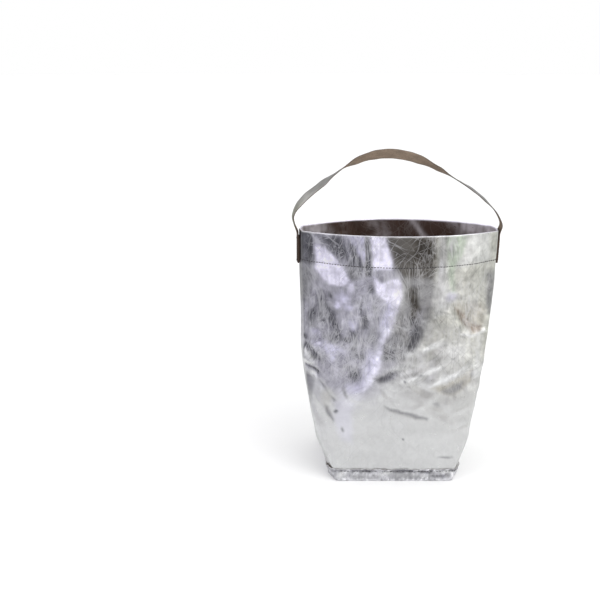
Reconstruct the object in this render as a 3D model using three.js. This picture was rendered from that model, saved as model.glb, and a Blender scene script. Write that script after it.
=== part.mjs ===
// Wine gift bag: a tube of metallic washable paper on a stitched base, with one strap handle.
// Millimetres, +Z up. The origin is the centre of the base, on the surface the bag stands on.
// X runs along the wide side of the bag, and the front faces -Y.
import * as THREE from 'three';

// ---- Driving dimensions ----------------------------------------------------
const BAG_HEIGHT = 232;        // rim above the table
const PAPER = 0.8;             // one layer of washable paper
const GAP = 0.3;               // clearance between neighbouring pieces
const QUARTER_GIRTH = 105;     // a quarter of the tube's girth of 420 mm
const BASE_QUARTER_GIRTH = 99; // the same at the base, where the corners are drawn in
const GATHER_HEIGHT = 40;      // the drawn-in corners have opened out at this height
const SPREAD_HEIGHT = 198;     // from here up the tube keeps the shape of its mouth
const SPREAD_BULGE = 0.5;      // how far the middle runs ahead of an even change

// The bag's plan changes from a cornered rectangle to a lens.
// Angles are those of the outline's tangent, from 0 along Y to 90 along X.
const BASE_SIDE_HALF = 45.5;   // arc length from the side seam to the front corner, at the base
const MOUTH_SIDE_HALF = 12;    // the same at the mouth
const MOUTH_SIDE_ANGLE = 10;   // how much each narrow side face bulges out at the mouth
const MOUTH_FRONT_ANGLE = 53;  // tangent angle where the mouth's curved front begins
const CHAMFER_LENGTH = 15.5;   // cut-off corner at the base
const CHAMFER_ANGLE = 27;
const CHAMFER_SPREAD = 0.35;   // share of the height where the chamfer has faded out
const CREASE_WIDTH = 5;        // length over which the outline turns a corner

const HEM_DEPTH = 28;          // the top edge is turned inside by this much
const HEM_STITCH_DROP = 25.7;  // the hem's stitching, below the rim
const BASE_BORDER = 12.5;      // the base sheet's turned-up border
const BASE_STITCH_HEIGHT = 9.8;

const STRAP_WIDTH = 10;
const STRAP_THICK = 1.0;
const TAIL_BOTTOM = 201;       // sewn strap end, from here to just under the rim
const TAIL_THICK = 2.0;        // the end is folded back under itself
const PIVOT_HEIGHT = 231.5;    // the strap swings about this line, level with the rim

const THREAD_WIDE = 0.6;
const THREAD_PROUD = 0.4;
const HEM_STITCH_END = 1.5;    // the hem's stitching stops this far short of the strap
const SEAM_STITCH_END = 4;     // the side seam's stitching stops this far short of base and hem
const TAIL_STITCH_INSET = 1.8; // the strap end's stitching runs this far inside its edge

// ---- Materials -------------------------------------------------------------
const material = (color, roughness, metalness) =>
  new THREE.MeshStandardMaterial({ color, roughness, metalness });
const SILVER = material(0xc9c9cc, 0.32, 0.9);
const SILVER_CRINKLED = material(0xb9b9bd, 0.42, 0.9);
const STRAP = material(0x8f7a6a, 0.5, 0.4);
const TAIL = material(0x4a3328, 0.6, 0.1);
const THREAD = material(0x3b3638, 0.8, 0.0);

// ---- Plan outline of the tube ----------------------------------------------
const OUTLINE_STEP = 0.5;
const { lerp, clamp, smoothstep, degToRad } = THREE.MathUtils;

// Share of the way from the base's rectangle to the mouth's lens.
function spreadAt(z) {
  const share = clamp(z / SPREAD_HEIGHT, 0, 1);
  return share * (1 + SPREAD_BULGE * share * (1 - share));
}

// Tangent angle at arc length s from the side seam, on the outer face.
function tangentAngle(s, spread, girth) {
  const corner = lerp(BASE_SIDE_HALF, MOUTH_SIDE_HALF, spread);
  const chamfer = CHAMFER_LENGTH * Math.max(0, 1 - spread / CHAMFER_SPREAD);
  const side = lerp(0, MOUTH_SIDE_ANGLE, spread);
  const front = lerp(90, MOUTH_FRONT_ANGLE, spread);
  const chamferTurn = (CHAMFER_ANGLE - side) * Math.min(1, chamfer / CREASE_WIDTH);
  const turn = (at) => smoothstep(s, at - CREASE_WIDTH / 2, at + CREASE_WIDTH / 2);
  const frontShare = clamp((s - corner) / (girth - corner), 0, 1);
  const first = side + chamferTurn * turn(corner - chamfer);
  const past = lerp(front, 90, frontShare);
  return degToRad(lerp(first, past, turn(corner)));
}

// A quarter of the outline at height z: points and outward normals from side seam to front middle.
const quarterCache = new Map();
function quarterOutline(z) {
  if (quarterCache.has(z)) return quarterCache.get(z);
  const spread = spreadAt(z);
  const girth = lerp(BASE_QUARTER_GIRTH, QUARTER_GIRTH, clamp(z / GATHER_HEIGHT, 0, 1));
  const steps = Math.round(girth / OUTLINE_STEP);
  const step = girth / steps;
  const rows = [{ across: 0, along: 0, angle: tangentAngle(0, spread, girth) }];
  for (let i = 1; i <= steps; i += 1) {
    const middle = tangentAngle((i - 0.5) * step, spread, girth);
    const last = rows[i - 1];
    rows.push({
      across: last.across + Math.sin(middle) * step,
      along: last.along + Math.cos(middle) * step,
      angle: tangentAngle(i * step, spread, girth),
    });
  }
  quarterCache.set(z, rows);
  return rows;
}

// Point of the tube's outer face. q runs round the bag: 0 right seam, 1 front middle,
// 2 left seam, 3 back middle, 4 right seam again. out moves it along the outward normal,
// and an inner face stops short of the seam's plane.
function tubePoint(q, z, out = 0) {
  const turn = ((q % 4) + 4) % 4;
  const quadrant = Math.min(3, Math.floor(turn));
  const odd = quadrant % 2 === 1;
  const share = odd ? 1 - (turn - quadrant) : turn - quadrant;
  const rows = quarterOutline(z);
  const at = share * (rows.length - 1);
  const low = Math.min(rows.length - 2, Math.floor(at));
  const mix = at - low;
  const across = lerp(rows[low].across, rows[low + 1].across, mix);
  const along = lerp(rows[low].along, rows[low + 1].along, mix);
  const angle = lerp(rows[low].angle, rows[low + 1].angle, mix);
  const halfWidth = rows[rows.length - 1].across;
  const x = halfWidth - across + out * Math.cos(angle);
  const y = -Math.max(along + out * Math.sin(angle), Math.min(along, GAP / 2));
  const left = quadrant === 1 || quadrant === 2;
  const back = quadrant >= 2;
  return new THREE.Vector3(left ? -x : x, back ? -y : y, z);
}

const SEAM_HALF_WIDTH = tubePoint(0, BAG_HEIGHT).x;
const girthShare = (length) => length / QUARTER_GIRTH;

// Stations across one panel, seam to seam. A full turn is two of these.
const PANEL_SPANS = 28;
function panelStations(qStart) {
  const seamGap = girthShare(GAP / 2);
  const shares = Array.from({ length: PANEL_SPANS + 1 }, (_, i) => i / PANEL_SPANS);
  return shares.map((share) => qStart + lerp(seamGap, 2 - seamGap, share));
}

// ---- Mesh helpers ----------------------------------------------------------
function solidFrom(vertices, triangles) {
  const geometry = new THREE.BufferGeometry();
  geometry.setAttribute('position', new THREE.Float32BufferAttribute(vertices.flat(), 3));
  geometry.setIndex(triangles.flat());
  geometry.computeVertexNormals();
  return geometry;
}

// Two triangles for one quad, split along the slanting crease of the nearest corner.
function facetPair(span, a, b, c, d, downward = false) {
  const firstHalf = span % (PANEL_SPANS + 1) < PANEL_SPANS / 2;
  const rising = firstHalf === downward;
  return rising ? [[a, b, c], [a, c, d]] : [[a, b, d], [b, c, d]];
}

// Sweep a closed section through stations. sections[i][j] is corner j at station i.
// The corners run anticlockwise when seen from the last station.
function sweep(sections, closed = false) {
  const corners = sections[0].length;
  const stations = sections.length;
  const vertices = sections.flat().map((point) => point.toArray());
  const triangles = [];
  const index = (i, j) => (i % stations) * corners + (j % corners);
  const spans = closed ? stations : stations - 1;
  for (let i = 0; i < spans; i += 1) {
    for (let j = 0; j < corners; j += 1) {
      triangles.push(...facetPair(i, index(i, j), index(i, j + 1), index(i + 1, j + 1), index(i + 1, j)));
    }
  }
  if (!closed) {
    const flat = endOutline(sections[0]);
    for (const [a, b, c] of THREE.ShapeUtils.triangulateShape(flat, [])) {
      triangles.push([c, b, a], [index(stations - 1, a), index(stations - 1, b), index(stations - 1, c)]);
    }
  }
  return solidFrom(vertices, orient(vertices, triangles));
}

// The section's corners in its own plane, for closing the ends.
function endOutline(section) {
  const origin = section[0];
  const first = section[1].clone().sub(origin).normalize();
  const other = section[section.length - 1].clone().sub(origin);
  const second = other.sub(first.clone().multiplyScalar(other.dot(first))).normalize();
  return section.map((point) => {
    const offset = point.clone().sub(origin);
    return new THREE.Vector2(offset.dot(first), offset.dot(second));
  });
}

// Turn all triangles round if they enclose a negative volume.
function orient(vertices, triangles) {
  let volume = 0;
  for (const [a, b, c] of triangles) {
    const [p, q, r] = [a, b, c].map((i) => new THREE.Vector3(...vertices[i]));
    volume += p.dot(q.cross(r));
  }
  return volume < 0 ? triangles.map(([a, b, c]) => [a, c, b]) : triangles;
}

function part(name, geometry, surface) {
  const mesh = new THREE.Mesh(geometry, surface);
  mesh.name = name;
  return mesh;
}

// ---- Paper pieces ----------------------------------------------------------
const PANEL_LEVELS = [BASE_BORDER, 28, 50, 75, 100, 125, 150, 175, SPREAD_HEIGHT];

// Half of the tube, seam to seam, with its hem turned inside.
function panel(qStart) {
  const foot = PAPER + GAP;
  const hemFoot = BAG_HEIGHT - HEM_DEPTH;
  const profile = [
    ...[foot, ...PANEL_LEVELS, BAG_HEIGHT].map((z) => [z, 0]),
    [BAG_HEIGHT, -2 * PAPER],
    [hemFoot, -2 * PAPER],
    [hemFoot, -PAPER],
    ...[foot, ...PANEL_LEVELS].reverse().map((z) => [z, -PAPER]),
  ];
  return sweep(panelStations(qStart).map((q) => profile.map(([z, out]) => tubePoint(q, z, out))));
}

// A flat sheet whose border is turned up round the outside of the tube.
function basePanel() {
  const rings = [
    [0, GAP + PAPER],
    [BASE_STITCH_HEIGHT, GAP + PAPER],
    [BASE_BORDER, GAP + PAPER],
    [BASE_BORDER, GAP],
    [PAPER, GAP],
  ];
  const last = rings.length - 1;
  const stations = [...panelStations(0), ...panelStations(2)];
  const spans = stations.length;
  const vertices = stations.flatMap((q) => rings.map(([z, out]) => tubePoint(q, z, out).toArray()));
  const under = vertices.push([0, 0, 0]) - 1;
  const inside = vertices.push([0, 0, PAPER]) - 1;
  const index = (i, j) => (i % spans) * rings.length + j;
  const triangles = [];
  for (let i = 0; i < spans; i += 1) {
    for (let j = 0; j < last; j += 1) {
      const corners = [index(i, j), index(i, j + 1), index(i + 1, j + 1), index(i + 1, j)];
      triangles.push(...facetPair(i, ...corners, j >= last - 1));
    }
    triangles.push([under, index(i, 0), index(i + 1, 0)]);
    triangles.push([inside, index(i + 1, last), index(i, last)]);
  }
  return solidFrom(vertices, orient(vertices, triangles));
}

// ---- Strap -----------------------------------------------------------------
// Route of the strap's middle in X and Z, from the left pivot to the right one.
const STRAP_X = SEAM_HALF_WIDTH + GAP + STRAP_THICK / 2;
const STRAP_ROUTE = [
  [-STRAP_X, PIVOT_HEIGHT], [-93.6, 236.5], [-94.4, 243.5], [-90.2, 252.3], [-82.3, 260.9],
  [-71.3, 269.9], [-59.8, 278.9], [-47.4, 287.4], [-32.8, 294.4], [-17, 297.9], [-1, 297.4],
  [16, 293], [33, 285], [50, 275.2], [65, 266.2], [77.3, 257.4], [86, 248.8],
  [91, 241.2], [93.4, 236.2], [STRAP_X, PIVOT_HEIGHT],
];
// Twist of the strap: share of the route, and degrees its outer face turns to the front.
const STRAP_ROLL = [
  [0, 0], [0.06, 6], [0.14, 24], [0.22, 20], [0.3, -8], [0.38, -44], [0.47, -60],
  [0.56, -54], [0.65, -24], [0.72, -2], [0.82, 10], [0.92, 3], [1, 0],
];
const STRAP_STATIONS = 44;

function rollAt(share) {
  const next = STRAP_ROLL.findIndex(([at]) => at >= share);
  if (next <= 0) return degToRad(STRAP_ROLL[0][1]);
  const [[low, from], [high, to]] = [STRAP_ROLL[next - 1], STRAP_ROLL[next]];
  return degToRad(lerp(from, to, smoothstep(share, low, high)));
}

// Four corners of the strap at a point, for a given width and twist.
function strapSection(point, tangent, width, roll) {
  const outward = new THREE.Vector3(-tangent.z, 0, tangent.x);
  const backward = new THREE.Vector3(0, 1, 0);
  const normal = outward.clone().multiplyScalar(Math.cos(roll));
  normal.addScaledVector(backward, -Math.sin(roll)).multiplyScalar(STRAP_THICK / 2);
  const side = backward.clone().multiplyScalar(Math.cos(roll));
  side.addScaledVector(outward, Math.sin(roll)).multiplyScalar(width / 2);
  return [[1, 1], [-1, 1], [-1, -1], [1, -1]].map(([a, b]) =>
    point.clone().addScaledVector(normal, a).addScaledVector(side, b));
}

// Round lower end of the arch, centred on the pivot, so that it can turn in its own place.
const STRAP_END_ANGLES = [84, 64, 44, 22];
function strapEnd(x) {
  const up = new THREE.Vector3(0, 0, x < 0 ? 1 : -1);
  const radius = STRAP_WIDTH / 2;
  const sections = STRAP_END_ANGLES.map((degrees) => {
    const drop = radius * Math.sin(degToRad(degrees));
    const width = 2 * radius * Math.cos(degToRad(degrees));
    return strapSection(new THREE.Vector3(x, 0, PIVOT_HEIGHT - drop), up, width, 0);
  });
  return x < 0 ? sections : sections.reverse();
}

function handleArch() {
  const points = STRAP_ROUTE.map(([x, z]) => new THREE.Vector3(x, 0, z));
  const route = new THREE.CatmullRomCurve3(points, false, 'centripetal');
  const sections = strapEnd(-STRAP_X);
  for (let i = 0; i <= STRAP_STATIONS; i += 1) {
    const share = i / STRAP_STATIONS;
    const ends = i === 0 || i === STRAP_STATIONS;
    const upright = new THREE.Vector3(0, 0, i === 0 ? 1 : -1);
    const tangent = ends ? upright : route.getTangentAt(share);
    sections.push(strapSection(route.getPointAt(share), tangent, STRAP_WIDTH, rollAt(share)));
  }
  sections.push(...strapEnd(STRAP_X));
  return sweep(sections);
}

const TAIL_INNER = SEAM_HALF_WIDTH + GAP;
const TAIL_TOP = PIVOT_HEIGHT - STRAP_WIDTH / 2 - 2 * GAP;

// Sewn end of the strap, flat against the bag's side.
function strapTail(side) {
  const height = TAIL_TOP - TAIL_BOTTOM;
  const box = new THREE.BoxGeometry(TAIL_THICK, STRAP_WIDTH, height);
  box.translate(side * (TAIL_INNER + TAIL_THICK / 2), 0, TAIL_BOTTOM + height / 2);
  return box;
}

// ---- Stitching -------------------------------------------------------------
// One row of stitches round part of the tube, as a single thin run of thread.
function threadRow(stations, z, base, closed = false) {
  const profile = [
    [z - THREAD_WIDE / 2, base], [z - THREAD_WIDE / 2, base + THREAD_PROUD],
    [z + THREAD_WIDE / 2, base + THREAD_PROUD], [z + THREAD_WIDE / 2, base],
  ];
  const sections = stations.map((q) => profile.map(([level, out]) => tubePoint(q, level, out)));
  return sweep(sections, closed);
}

const HEM_STITCH_HEIGHT = BAG_HEIGHT - HEM_STITCH_DROP;
const HEM_STITCH_MARGIN = girthShare(STRAP_WIDTH / 2 + HEM_STITCH_END);

function hemStitching(qStart) {
  const between = (q) => q > qStart + HEM_STITCH_MARGIN && q < qStart + 2 - HEM_STITCH_MARGIN;
  return threadRow(panelStations(qStart).filter(between), HEM_STITCH_HEIGHT, GAP);
}

function baseSeamStitching() {
  const stations = [...panelStations(0), ...panelStations(2)];
  return threadRow(stations, BASE_STITCH_HEIGHT, 2 * GAP + PAPER, true);
}

// The seam that joins the two panels runs inside, just behind the side fold.
function sideSeamStitching(side) {
  const levels = [PAPER + SEAM_STITCH_END, ...PANEL_LEVELS, BAG_HEIGHT - HEM_DEPTH - SEAM_STITCH_END];
  const sections = levels.map((z) => {
    const outer = tubePoint(0, z).x - PAPER - 3 * GAP;
    return [[0, 1], [1, 1], [1, -1], [0, -1]].map(([depth, y]) =>
      new THREE.Vector3(side * (outer - depth * THREAD_WIDE), y * THREAD_WIDE / 2, z));
  });
  return sweep(sections);
}

// A sewn box on the outer face of the strap's end.
function tailStitching(side) {
  const outline = new THREE.Shape();
  const halfWidth = STRAP_WIDTH / 2 - TAIL_STITCH_INSET;
  const [low, high] = [TAIL_BOTTOM + TAIL_STITCH_INSET, TAIL_TOP - TAIL_STITCH_INSET];
  const rectangle = (shape, inset) => shape.moveTo(-halfWidth + inset, low + inset)
    .lineTo(halfWidth - inset, low + inset).lineTo(halfWidth - inset, high - inset)
    .lineTo(-halfWidth + inset, high - inset).closePath();
  rectangle(outline, 0);
  const hole = new THREE.Path();
  rectangle(hole, THREAD_WIDE);
  outline.holes.push(hole);
  const geometry = new THREE.ExtrudeGeometry(outline, { depth: THREAD_PROUD, bevelEnabled: false });
  geometry.applyMatrix4(new THREE.Matrix4().set(0, 0, 1, 0, 1, 0, 0, 0, 0, 1, 0, 0, 0, 0, 0, 1));
  if (side < 0) geometry.rotateZ(Math.PI);
  geometry.translate(side * (TAIL_INNER + TAIL_THICK + GAP), 0, 0);
  return geometry;
}

// ---- Assembly --------------------------------------------------------------
const bag = new THREE.Group();
bag.add(
  part('front_panel', panel(0), SILVER),
  part('back_panel', panel(2), SILVER),
  part('base_panel', basePanel(), SILVER_CRINKLED),
  part('hem_stitching_front', hemStitching(0), THREAD),
  part('hem_stitching_back', hemStitching(2), THREAD),
  part('base_seam_stitching', baseSeamStitching(), THREAD),
  part('handle_strap', handleArch(), STRAP),
);
for (const [word, side] of [['left', -1], ['right', 1]]) {
  bag.add(
    part(`strap_tail_${word}`, strapTail(side), TAIL),
    part(`tail_stitching_${word}`, tailStitching(side), THREAD),
    part(`side_seam_stitching_${word}`, sideSeamStitching(side), THREAD),
  );
}

export default bag;
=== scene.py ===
import math

import bpy
import numpy as np
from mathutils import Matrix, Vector


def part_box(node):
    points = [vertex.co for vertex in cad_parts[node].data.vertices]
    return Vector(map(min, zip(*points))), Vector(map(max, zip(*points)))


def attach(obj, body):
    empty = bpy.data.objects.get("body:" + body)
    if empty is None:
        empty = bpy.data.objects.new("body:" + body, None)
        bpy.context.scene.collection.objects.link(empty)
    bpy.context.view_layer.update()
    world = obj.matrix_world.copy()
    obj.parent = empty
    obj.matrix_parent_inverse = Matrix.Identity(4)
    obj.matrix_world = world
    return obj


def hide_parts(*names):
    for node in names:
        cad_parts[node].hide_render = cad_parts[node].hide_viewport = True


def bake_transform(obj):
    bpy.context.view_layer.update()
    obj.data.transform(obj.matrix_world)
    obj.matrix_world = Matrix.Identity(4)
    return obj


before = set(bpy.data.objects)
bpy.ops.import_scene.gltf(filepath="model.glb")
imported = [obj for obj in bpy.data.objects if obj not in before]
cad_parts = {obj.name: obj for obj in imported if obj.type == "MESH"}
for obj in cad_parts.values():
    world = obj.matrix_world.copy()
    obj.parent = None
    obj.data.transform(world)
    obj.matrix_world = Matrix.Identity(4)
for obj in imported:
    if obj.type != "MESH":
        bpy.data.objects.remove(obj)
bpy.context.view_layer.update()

METRES = 0.001


def box_mm(node):
    """Lowest and highest corner of a CAD node, in millimetres."""
    low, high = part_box(node)
    return np.array(low) / METRES, np.array(high) / METRES


def middle_mm(node):
    low, high = box_mm(node)
    return (low + high) / 2


# ---- Driving dimensions ----------------------------------------------------
RIM = box_mm("front_panel")[1][2]
HALF_MOUTH = box_mm("front_panel")[1][0]
BORDER_TOP = box_mm("base_panel")[1][2]
HEM_STITCH_Z = middle_mm("hem_stitching_front")[2]
BASE_STITCH_Z = middle_mm("base_seam_stitching")[2]
TAIL_LOW, TAIL_HIGH = box_mm("strap_tail_right")

PAPER = 0.7                  # thickness of the washable paper
HEM_GAP = 0.12               # air between the wall and its turned hem
HEM_DEPTH = 28.0
BORDER_GAP = 0.12            # air between the wall and the base's turned-up border
FOOT = 1.1                   # lower edge of the wall, on top of the base sheet
QUARTER_GIRTH = 105.0
PANEL_EDGE = QUARTER_GIRTH - 0.05   # a panel stops just short of the side seam
BASE_QUARTER_GIRTH = 99.0
GATHER_HEIGHT = 40.0
SPREAD_HEIGHT = 198.0
SPREAD_BULGE = 0.5
SPREAD_EASE = 0.035
BASE_SIDE_HALF = 45.5
MOUTH_SIDE_HALF = 12.0
MOUTH_SIDE_ANGLE = 10.0
MOUTH_FRONT_ANGLE = 53.0
CHAMFER_LENGTH = 15.5
CHAMFER_ANGLE = 27.0
CHAMFER_SPREAD = 0.35
CREASE_WIDTH = 5.0
RIM_ARCH = 2.0               # how far the front of the rim rises in its middle


# ---- Small helpers ---------------------------------------------------------
def lerp(a, b, t):
    return a + (b - a) * t


def smooth(x, low, high):
    """0 below low, 1 above high, and a smooth rise between."""
    t = np.clip((x - low) / (high - low), 0.0, 1.0)
    return t * t * (3.0 - 2.0 * t)


def bell(x, centre, width):
    return np.exp(-(((x - centre) / width) ** 2))


def put_mesh(name, points, faces, material_of_face=None, paper=None, tint=None):
    """A mesh object from points in millimetres, with each point's place on the flat paper and tint."""
    mesh = bpy.data.meshes.new(name)
    mesh.from_pydata((np.asarray(points) * METRES).tolist(), [], faces)
    if material_of_face is not None:
        mesh.polygons.foreach_set("material_index", material_of_face)
    if paper is not None:
        store = mesh.attributes.new("paper", "FLOAT_VECTOR", "POINT")
        store.data.foreach_set("vector", np.asarray(paper, np.float32).ravel())
    if tint is not None:
        store = mesh.attributes.new("tint", "FLOAT_COLOR", "POINT")
        store.data.foreach_set("color", np.insert(tint, 3, 1.0, -1).astype(np.float32).ravel())
    mesh.polygons.foreach_set("use_smooth", np.ones(len(faces), bool))
    mesh.update()
    piece = bpy.data.objects.new(name, mesh)
    bpy.context.scene.collection.objects.link(piece)
    return piece


def grid_faces(rows, columns, start=0, closed=False, flip=False):
    """Quads of a grid of points, row by row. closed joins the last column to the first."""
    spans = columns if closed else columns - 1
    i, j = np.meshgrid(np.arange(rows - 1), np.arange(spans), indexing="ij")
    after = (j + 1) % columns
    a = start + i * columns + j
    b = start + i * columns + after
    c = start + (i + 1) * columns + after
    d = start + (i + 1) * columns + j
    quads = np.stack([a, d, c, b] if flip else [a, b, c, d], -1)
    return quads.reshape(-1, 4).tolist()


def strip_faces(first, second, flip=False):
    """Quads between two equally long lists of point numbers."""
    pairs = zip(first[:-1], first[1:], second[1:], second[:-1])
    return [list(reversed(quad)) if flip else list(quad) for quad in pairs]


FACE, BACK, EDGE = 0, 1, 2   # material slots of a sheet: its face, its back and its cut edges


def sheet_piece(name, face, back, closed=False, paper=None, tint=None):
    """A thick sheet from two grids of points. face and back have the same shape (rows, columns, 3)."""
    rows, columns = face.shape[:2]
    count = rows * columns
    number = np.arange(count).reshape(rows, columns)
    faces = grid_faces(rows, columns, closed=closed)
    kinds = [FACE] * len(faces)
    faces += grid_faces(rows, columns, start=count, closed=closed, flip=True)
    kinds += [BACK] * (len(faces) - len(kinds))
    ends = np.pad(number, ((0, 0), (0, 1)), "wrap") if closed else number
    faces += strip_faces(list(ends[0]), list(ends[0] + count), flip=True)
    faces += strip_faces(list(ends[-1]), list(ends[-1] + count))
    if not closed:
        faces += strip_faces(list(number[:, 0]), list(number[:, 0] + count))
        faces += strip_faces(list(number[:, -1]), list(number[:, -1] + count), flip=True)
    faces = [[int(n) for n in f] for f in faces]
    kinds += [EDGE] * (len(faces) - len(kinds))
    points = np.concatenate([face.reshape(-1, 3), back.reshape(-1, 3)])
    both = [None if grid is None else np.concatenate([grid.reshape(-1, 3)] * 2) for grid in (paper, tint)]
    return put_mesh(name, points, faces, kinds, *both)


# ---- The tube's shape ------------------------------------------------------
def spread_at(z):
    """How far the outline has opened at height z: 0 at the foot, easing to 1 at the hem."""
    share = 1.0 - SPREAD_EASE * np.log1p(np.exp((1.0 - z / SPREAD_HEIGHT) / SPREAD_EASE))
    share = np.maximum(share, 0.0)
    return share * (1.0 + SPREAD_BULGE * share * (1.0 - share))


def tangent_angle(s, spread, girth):
    """Angle of the outline's tangent at arc length s from the side seam, in radians."""
    corner = lerp(BASE_SIDE_HALF, MOUTH_SIDE_HALF, spread)
    chamfer = CHAMFER_LENGTH * np.maximum(0.0, 1.0 - spread / CHAMFER_SPREAD)
    side = lerp(0.0, MOUTH_SIDE_ANGLE, spread)
    front = lerp(90.0, MOUTH_FRONT_ANGLE, spread)
    chamfer_turn = (CHAMFER_ANGLE - side) * np.minimum(1.0, chamfer / CREASE_WIDTH)
    half = CREASE_WIDTH / 2
    chamfer_foot = corner - chamfer
    first = side + chamfer_turn * smooth(s, chamfer_foot - half, chamfer_foot + half)
    past = lerp(front, 90.0, np.clip((s - corner) / (girth - corner), 0.0, 1.0))
    return np.radians(lerp(first, past, smooth(s, corner - half, corner + half)))


OUTLINE_STEPS = 420


def outline(heights, shares):
    """Quarter outline: half-width, depth and angle at each height (rows) and share of the girth."""
    heights = np.asarray(heights, float)[:, None]
    spread = spread_at(heights)
    gather = np.clip(heights / GATHER_HEIGHT, 0.0, 1.0)
    girth = lerp(BASE_QUARTER_GIRTH, QUARTER_GIRTH, gather)
    steps = np.arange(OUTLINE_STEPS + 1)[None, :] / OUTLINE_STEPS
    between = (steps[:, 1:] + steps[:, :-1]) / 2
    angle = tangent_angle(between * girth, spread, girth)
    step = girth / OUTLINE_STEPS
    across = np.concatenate([np.zeros_like(heights), np.cumsum(np.sin(angle) * step, 1)], 1)
    along = np.concatenate([np.zeros_like(heights), np.cumsum(np.cos(angle) * step, 1)], 1)
    turned = tangent_angle(steps * girth, spread, girth)
    half_width = across[:, -1:]
    grids = [half_width - across, along, turned]
    at = np.asarray(shares, float)
    return [np.stack([np.interp(at, steps[0], row) for row in grid]) for grid in grids]


# ---- Crumpled paper --------------------------------------------------------
# Places on a panel are (u, v): u runs round it from its middle, positive to the right as seen from
# outside, and v is the height above the table.
# Creases: from (u, v) to (u, v), half-width, and height, which is negative for a valley.
FRONT_FOLDS = [
    # Corner of the narrow side at the left of the mouth, and its partner on the right.
    (-80, 237, -80, 203, 6, 1.5), (-80, 204, -87, 168, 8, 1.2),
    (91, 237, 90, 198, 5, 0.9), (90, 200, 84, 150, 7, 0.9),
    # Short creases of the hem.
    (-30, 237, -29, 204, 3.5, -0.8), (-29, 206, -27, 184, 4, -0.7), (-48, 231, -34, 205, 4.5, -0.8),
    (-66, 224, -50, 204, 6, 0.5), (31, 237, 31, 196, 5, -0.9), (37, 237, 38, 186, 5, 0.6),
    # The long ridge that runs down across the panel, and the valleys beside it.
    (1, 201, -3, 170, 9, 1.4), (-3, 172, -12, 145, 9, 1.4), (-12, 146, -17, 120, 10, 1.3),
    (-17, 122, -24, 98, 10, 1.2), (-24, 99, -42, 80, 10, 0.9),
    (4, 192, -5, 150, 9, -0.9), (-7, 150, -12, 124, 7, -0.7), (-33, 165, -27, 118, 8, -0.7),
    # The crossed creases low on the left.
    (-87, 133, -65, 116, 4.5, -1.6), (-92, 122, -70, 112, 6, 1.2), (-84, 113, -66, 104, 3.5, -1.3),
    (-82, 112, -68, 98, 3.5, 1.1), (-68, 99, -50, 76, 4, -1.0), (-75, 92, -56, 62, 6, 1.1),
    (-50, 78, -45, 40, 6, 0.6), (-60, 76, -52, 60, 3.5, -0.5),
    # The rim of the dent high on the right.
    (47, 173, 66, 148, 7, -1.1), (64, 149, 81, 144, 5, -1.1), (54, 142, 85, 140, 4.5, 0.55),
    # Slanting folds in the middle and on the right.
    (2, 100, 45, 122, 6, 0.6), (26, 94, 67, 115, 6, 0.7), (34, 89, 71, 105, 9, -1.0),
    (10, 96, 38, 110, 4, -0.6), (-20, 101, 0, 111, 5, -0.8), (20, 128, 62, 138, 6, -0.5),
    (-12, 75, 30, 62, 3, -0.4), (42, 23, 56, 24, 2.2, -0.25), (30, 77, 42, 72, 4, -0.35),
]
BACK_FOLDS = [
    (80, 237, 80, 203, 6, 1.4), (-90, 237, -88, 170, 6, 1.1), (22, 237, 24, 190, 5, -0.8),
    (-40, 232, -18, 180, 7, 1.3), (-18, 182, -6, 140, 8, 1.6), (-6, 142, 14, 96, 8, 1.5),
    (30, 180, 10, 130, 7, -1.0), (60, 170, 34, 120, 8, 1.2), (72, 140, 50, 116, 5, -1.4),
    (-74, 160, -50, 130, 6, -1.3), (-80, 120, -44, 108, 6, 1.2), (-60, 100, -30, 84, 5, -0.9),
    (40, 96, 74, 110, 6, 1.0), (-10, 74, 26, 66, 3, -0.4), (52, 76, 60, 42, 6, 0.6),
]
# Broad swellings and dents: middle (u, v), half-sizes, and height.
FRONT_SWELLS = [
    (66, 157, 13, 11, -2.0), (52, 94, 16, 9, -1.3), (-68, 158, 9, 10, -1.0), (-38, 104, 8, 8, -1.0),
    (-12, 188, 10, 10, 1.0), (-62, 196, 13, 9, 0.8), (12, 165, 12, 24, -0.8), (-62, 84, 7, 12, 0.7),
]
BACK_SWELLS = [
    (-20, 196, 14, 10, 1.0), (48, 150, 14, 12, -1.6), (-56, 118, 14, 10, -1.3), (10, 112, 12, 10, 0.9),
]
FOLDS = {"front": FRONT_FOLDS, "back": BACK_FOLDS}
SWELLS = {"front": FRONT_SWELLS, "back": BACK_SWELLS}
RELIEF_SEED = {"front": 11, "back": 47}
# Scattered creases: how many, then the ranges of length, half-width and height.
SCATTERED = [
    (42, (26, 70), (7, 15), (0.3, 0.95)),
    (230, (10, 32), (3.0, 7), (0.14, 0.55)),
    (900, (4, 12), (1.3, 2.8), (0.04, 0.16)),
]
# The long ridge of the front, upwards: (v, u). The scattered creases are calm beside it.
RIDGE_LINE = [(80.0, -42.0), (98.0, -24.0), (120.0, -17.0), (145.0, -12.0), (170.0, -3.0), (201.0, 1.0)]
RIDGE_CALM = 11.0            # how far to each side of the ridge
RELIEF_STEP = 0.75           # grid of the relief and the tints


def relief_axes():
    """Places of that grid: u across the panel, and v up it."""
    u = np.arange(-QUARTER_GIRTH, QUARTER_GIRTH + RELIEF_STEP, RELIEF_STEP)
    return u, np.arange(0.0, RIM + RELIEF_STEP, RELIEF_STEP)


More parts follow.
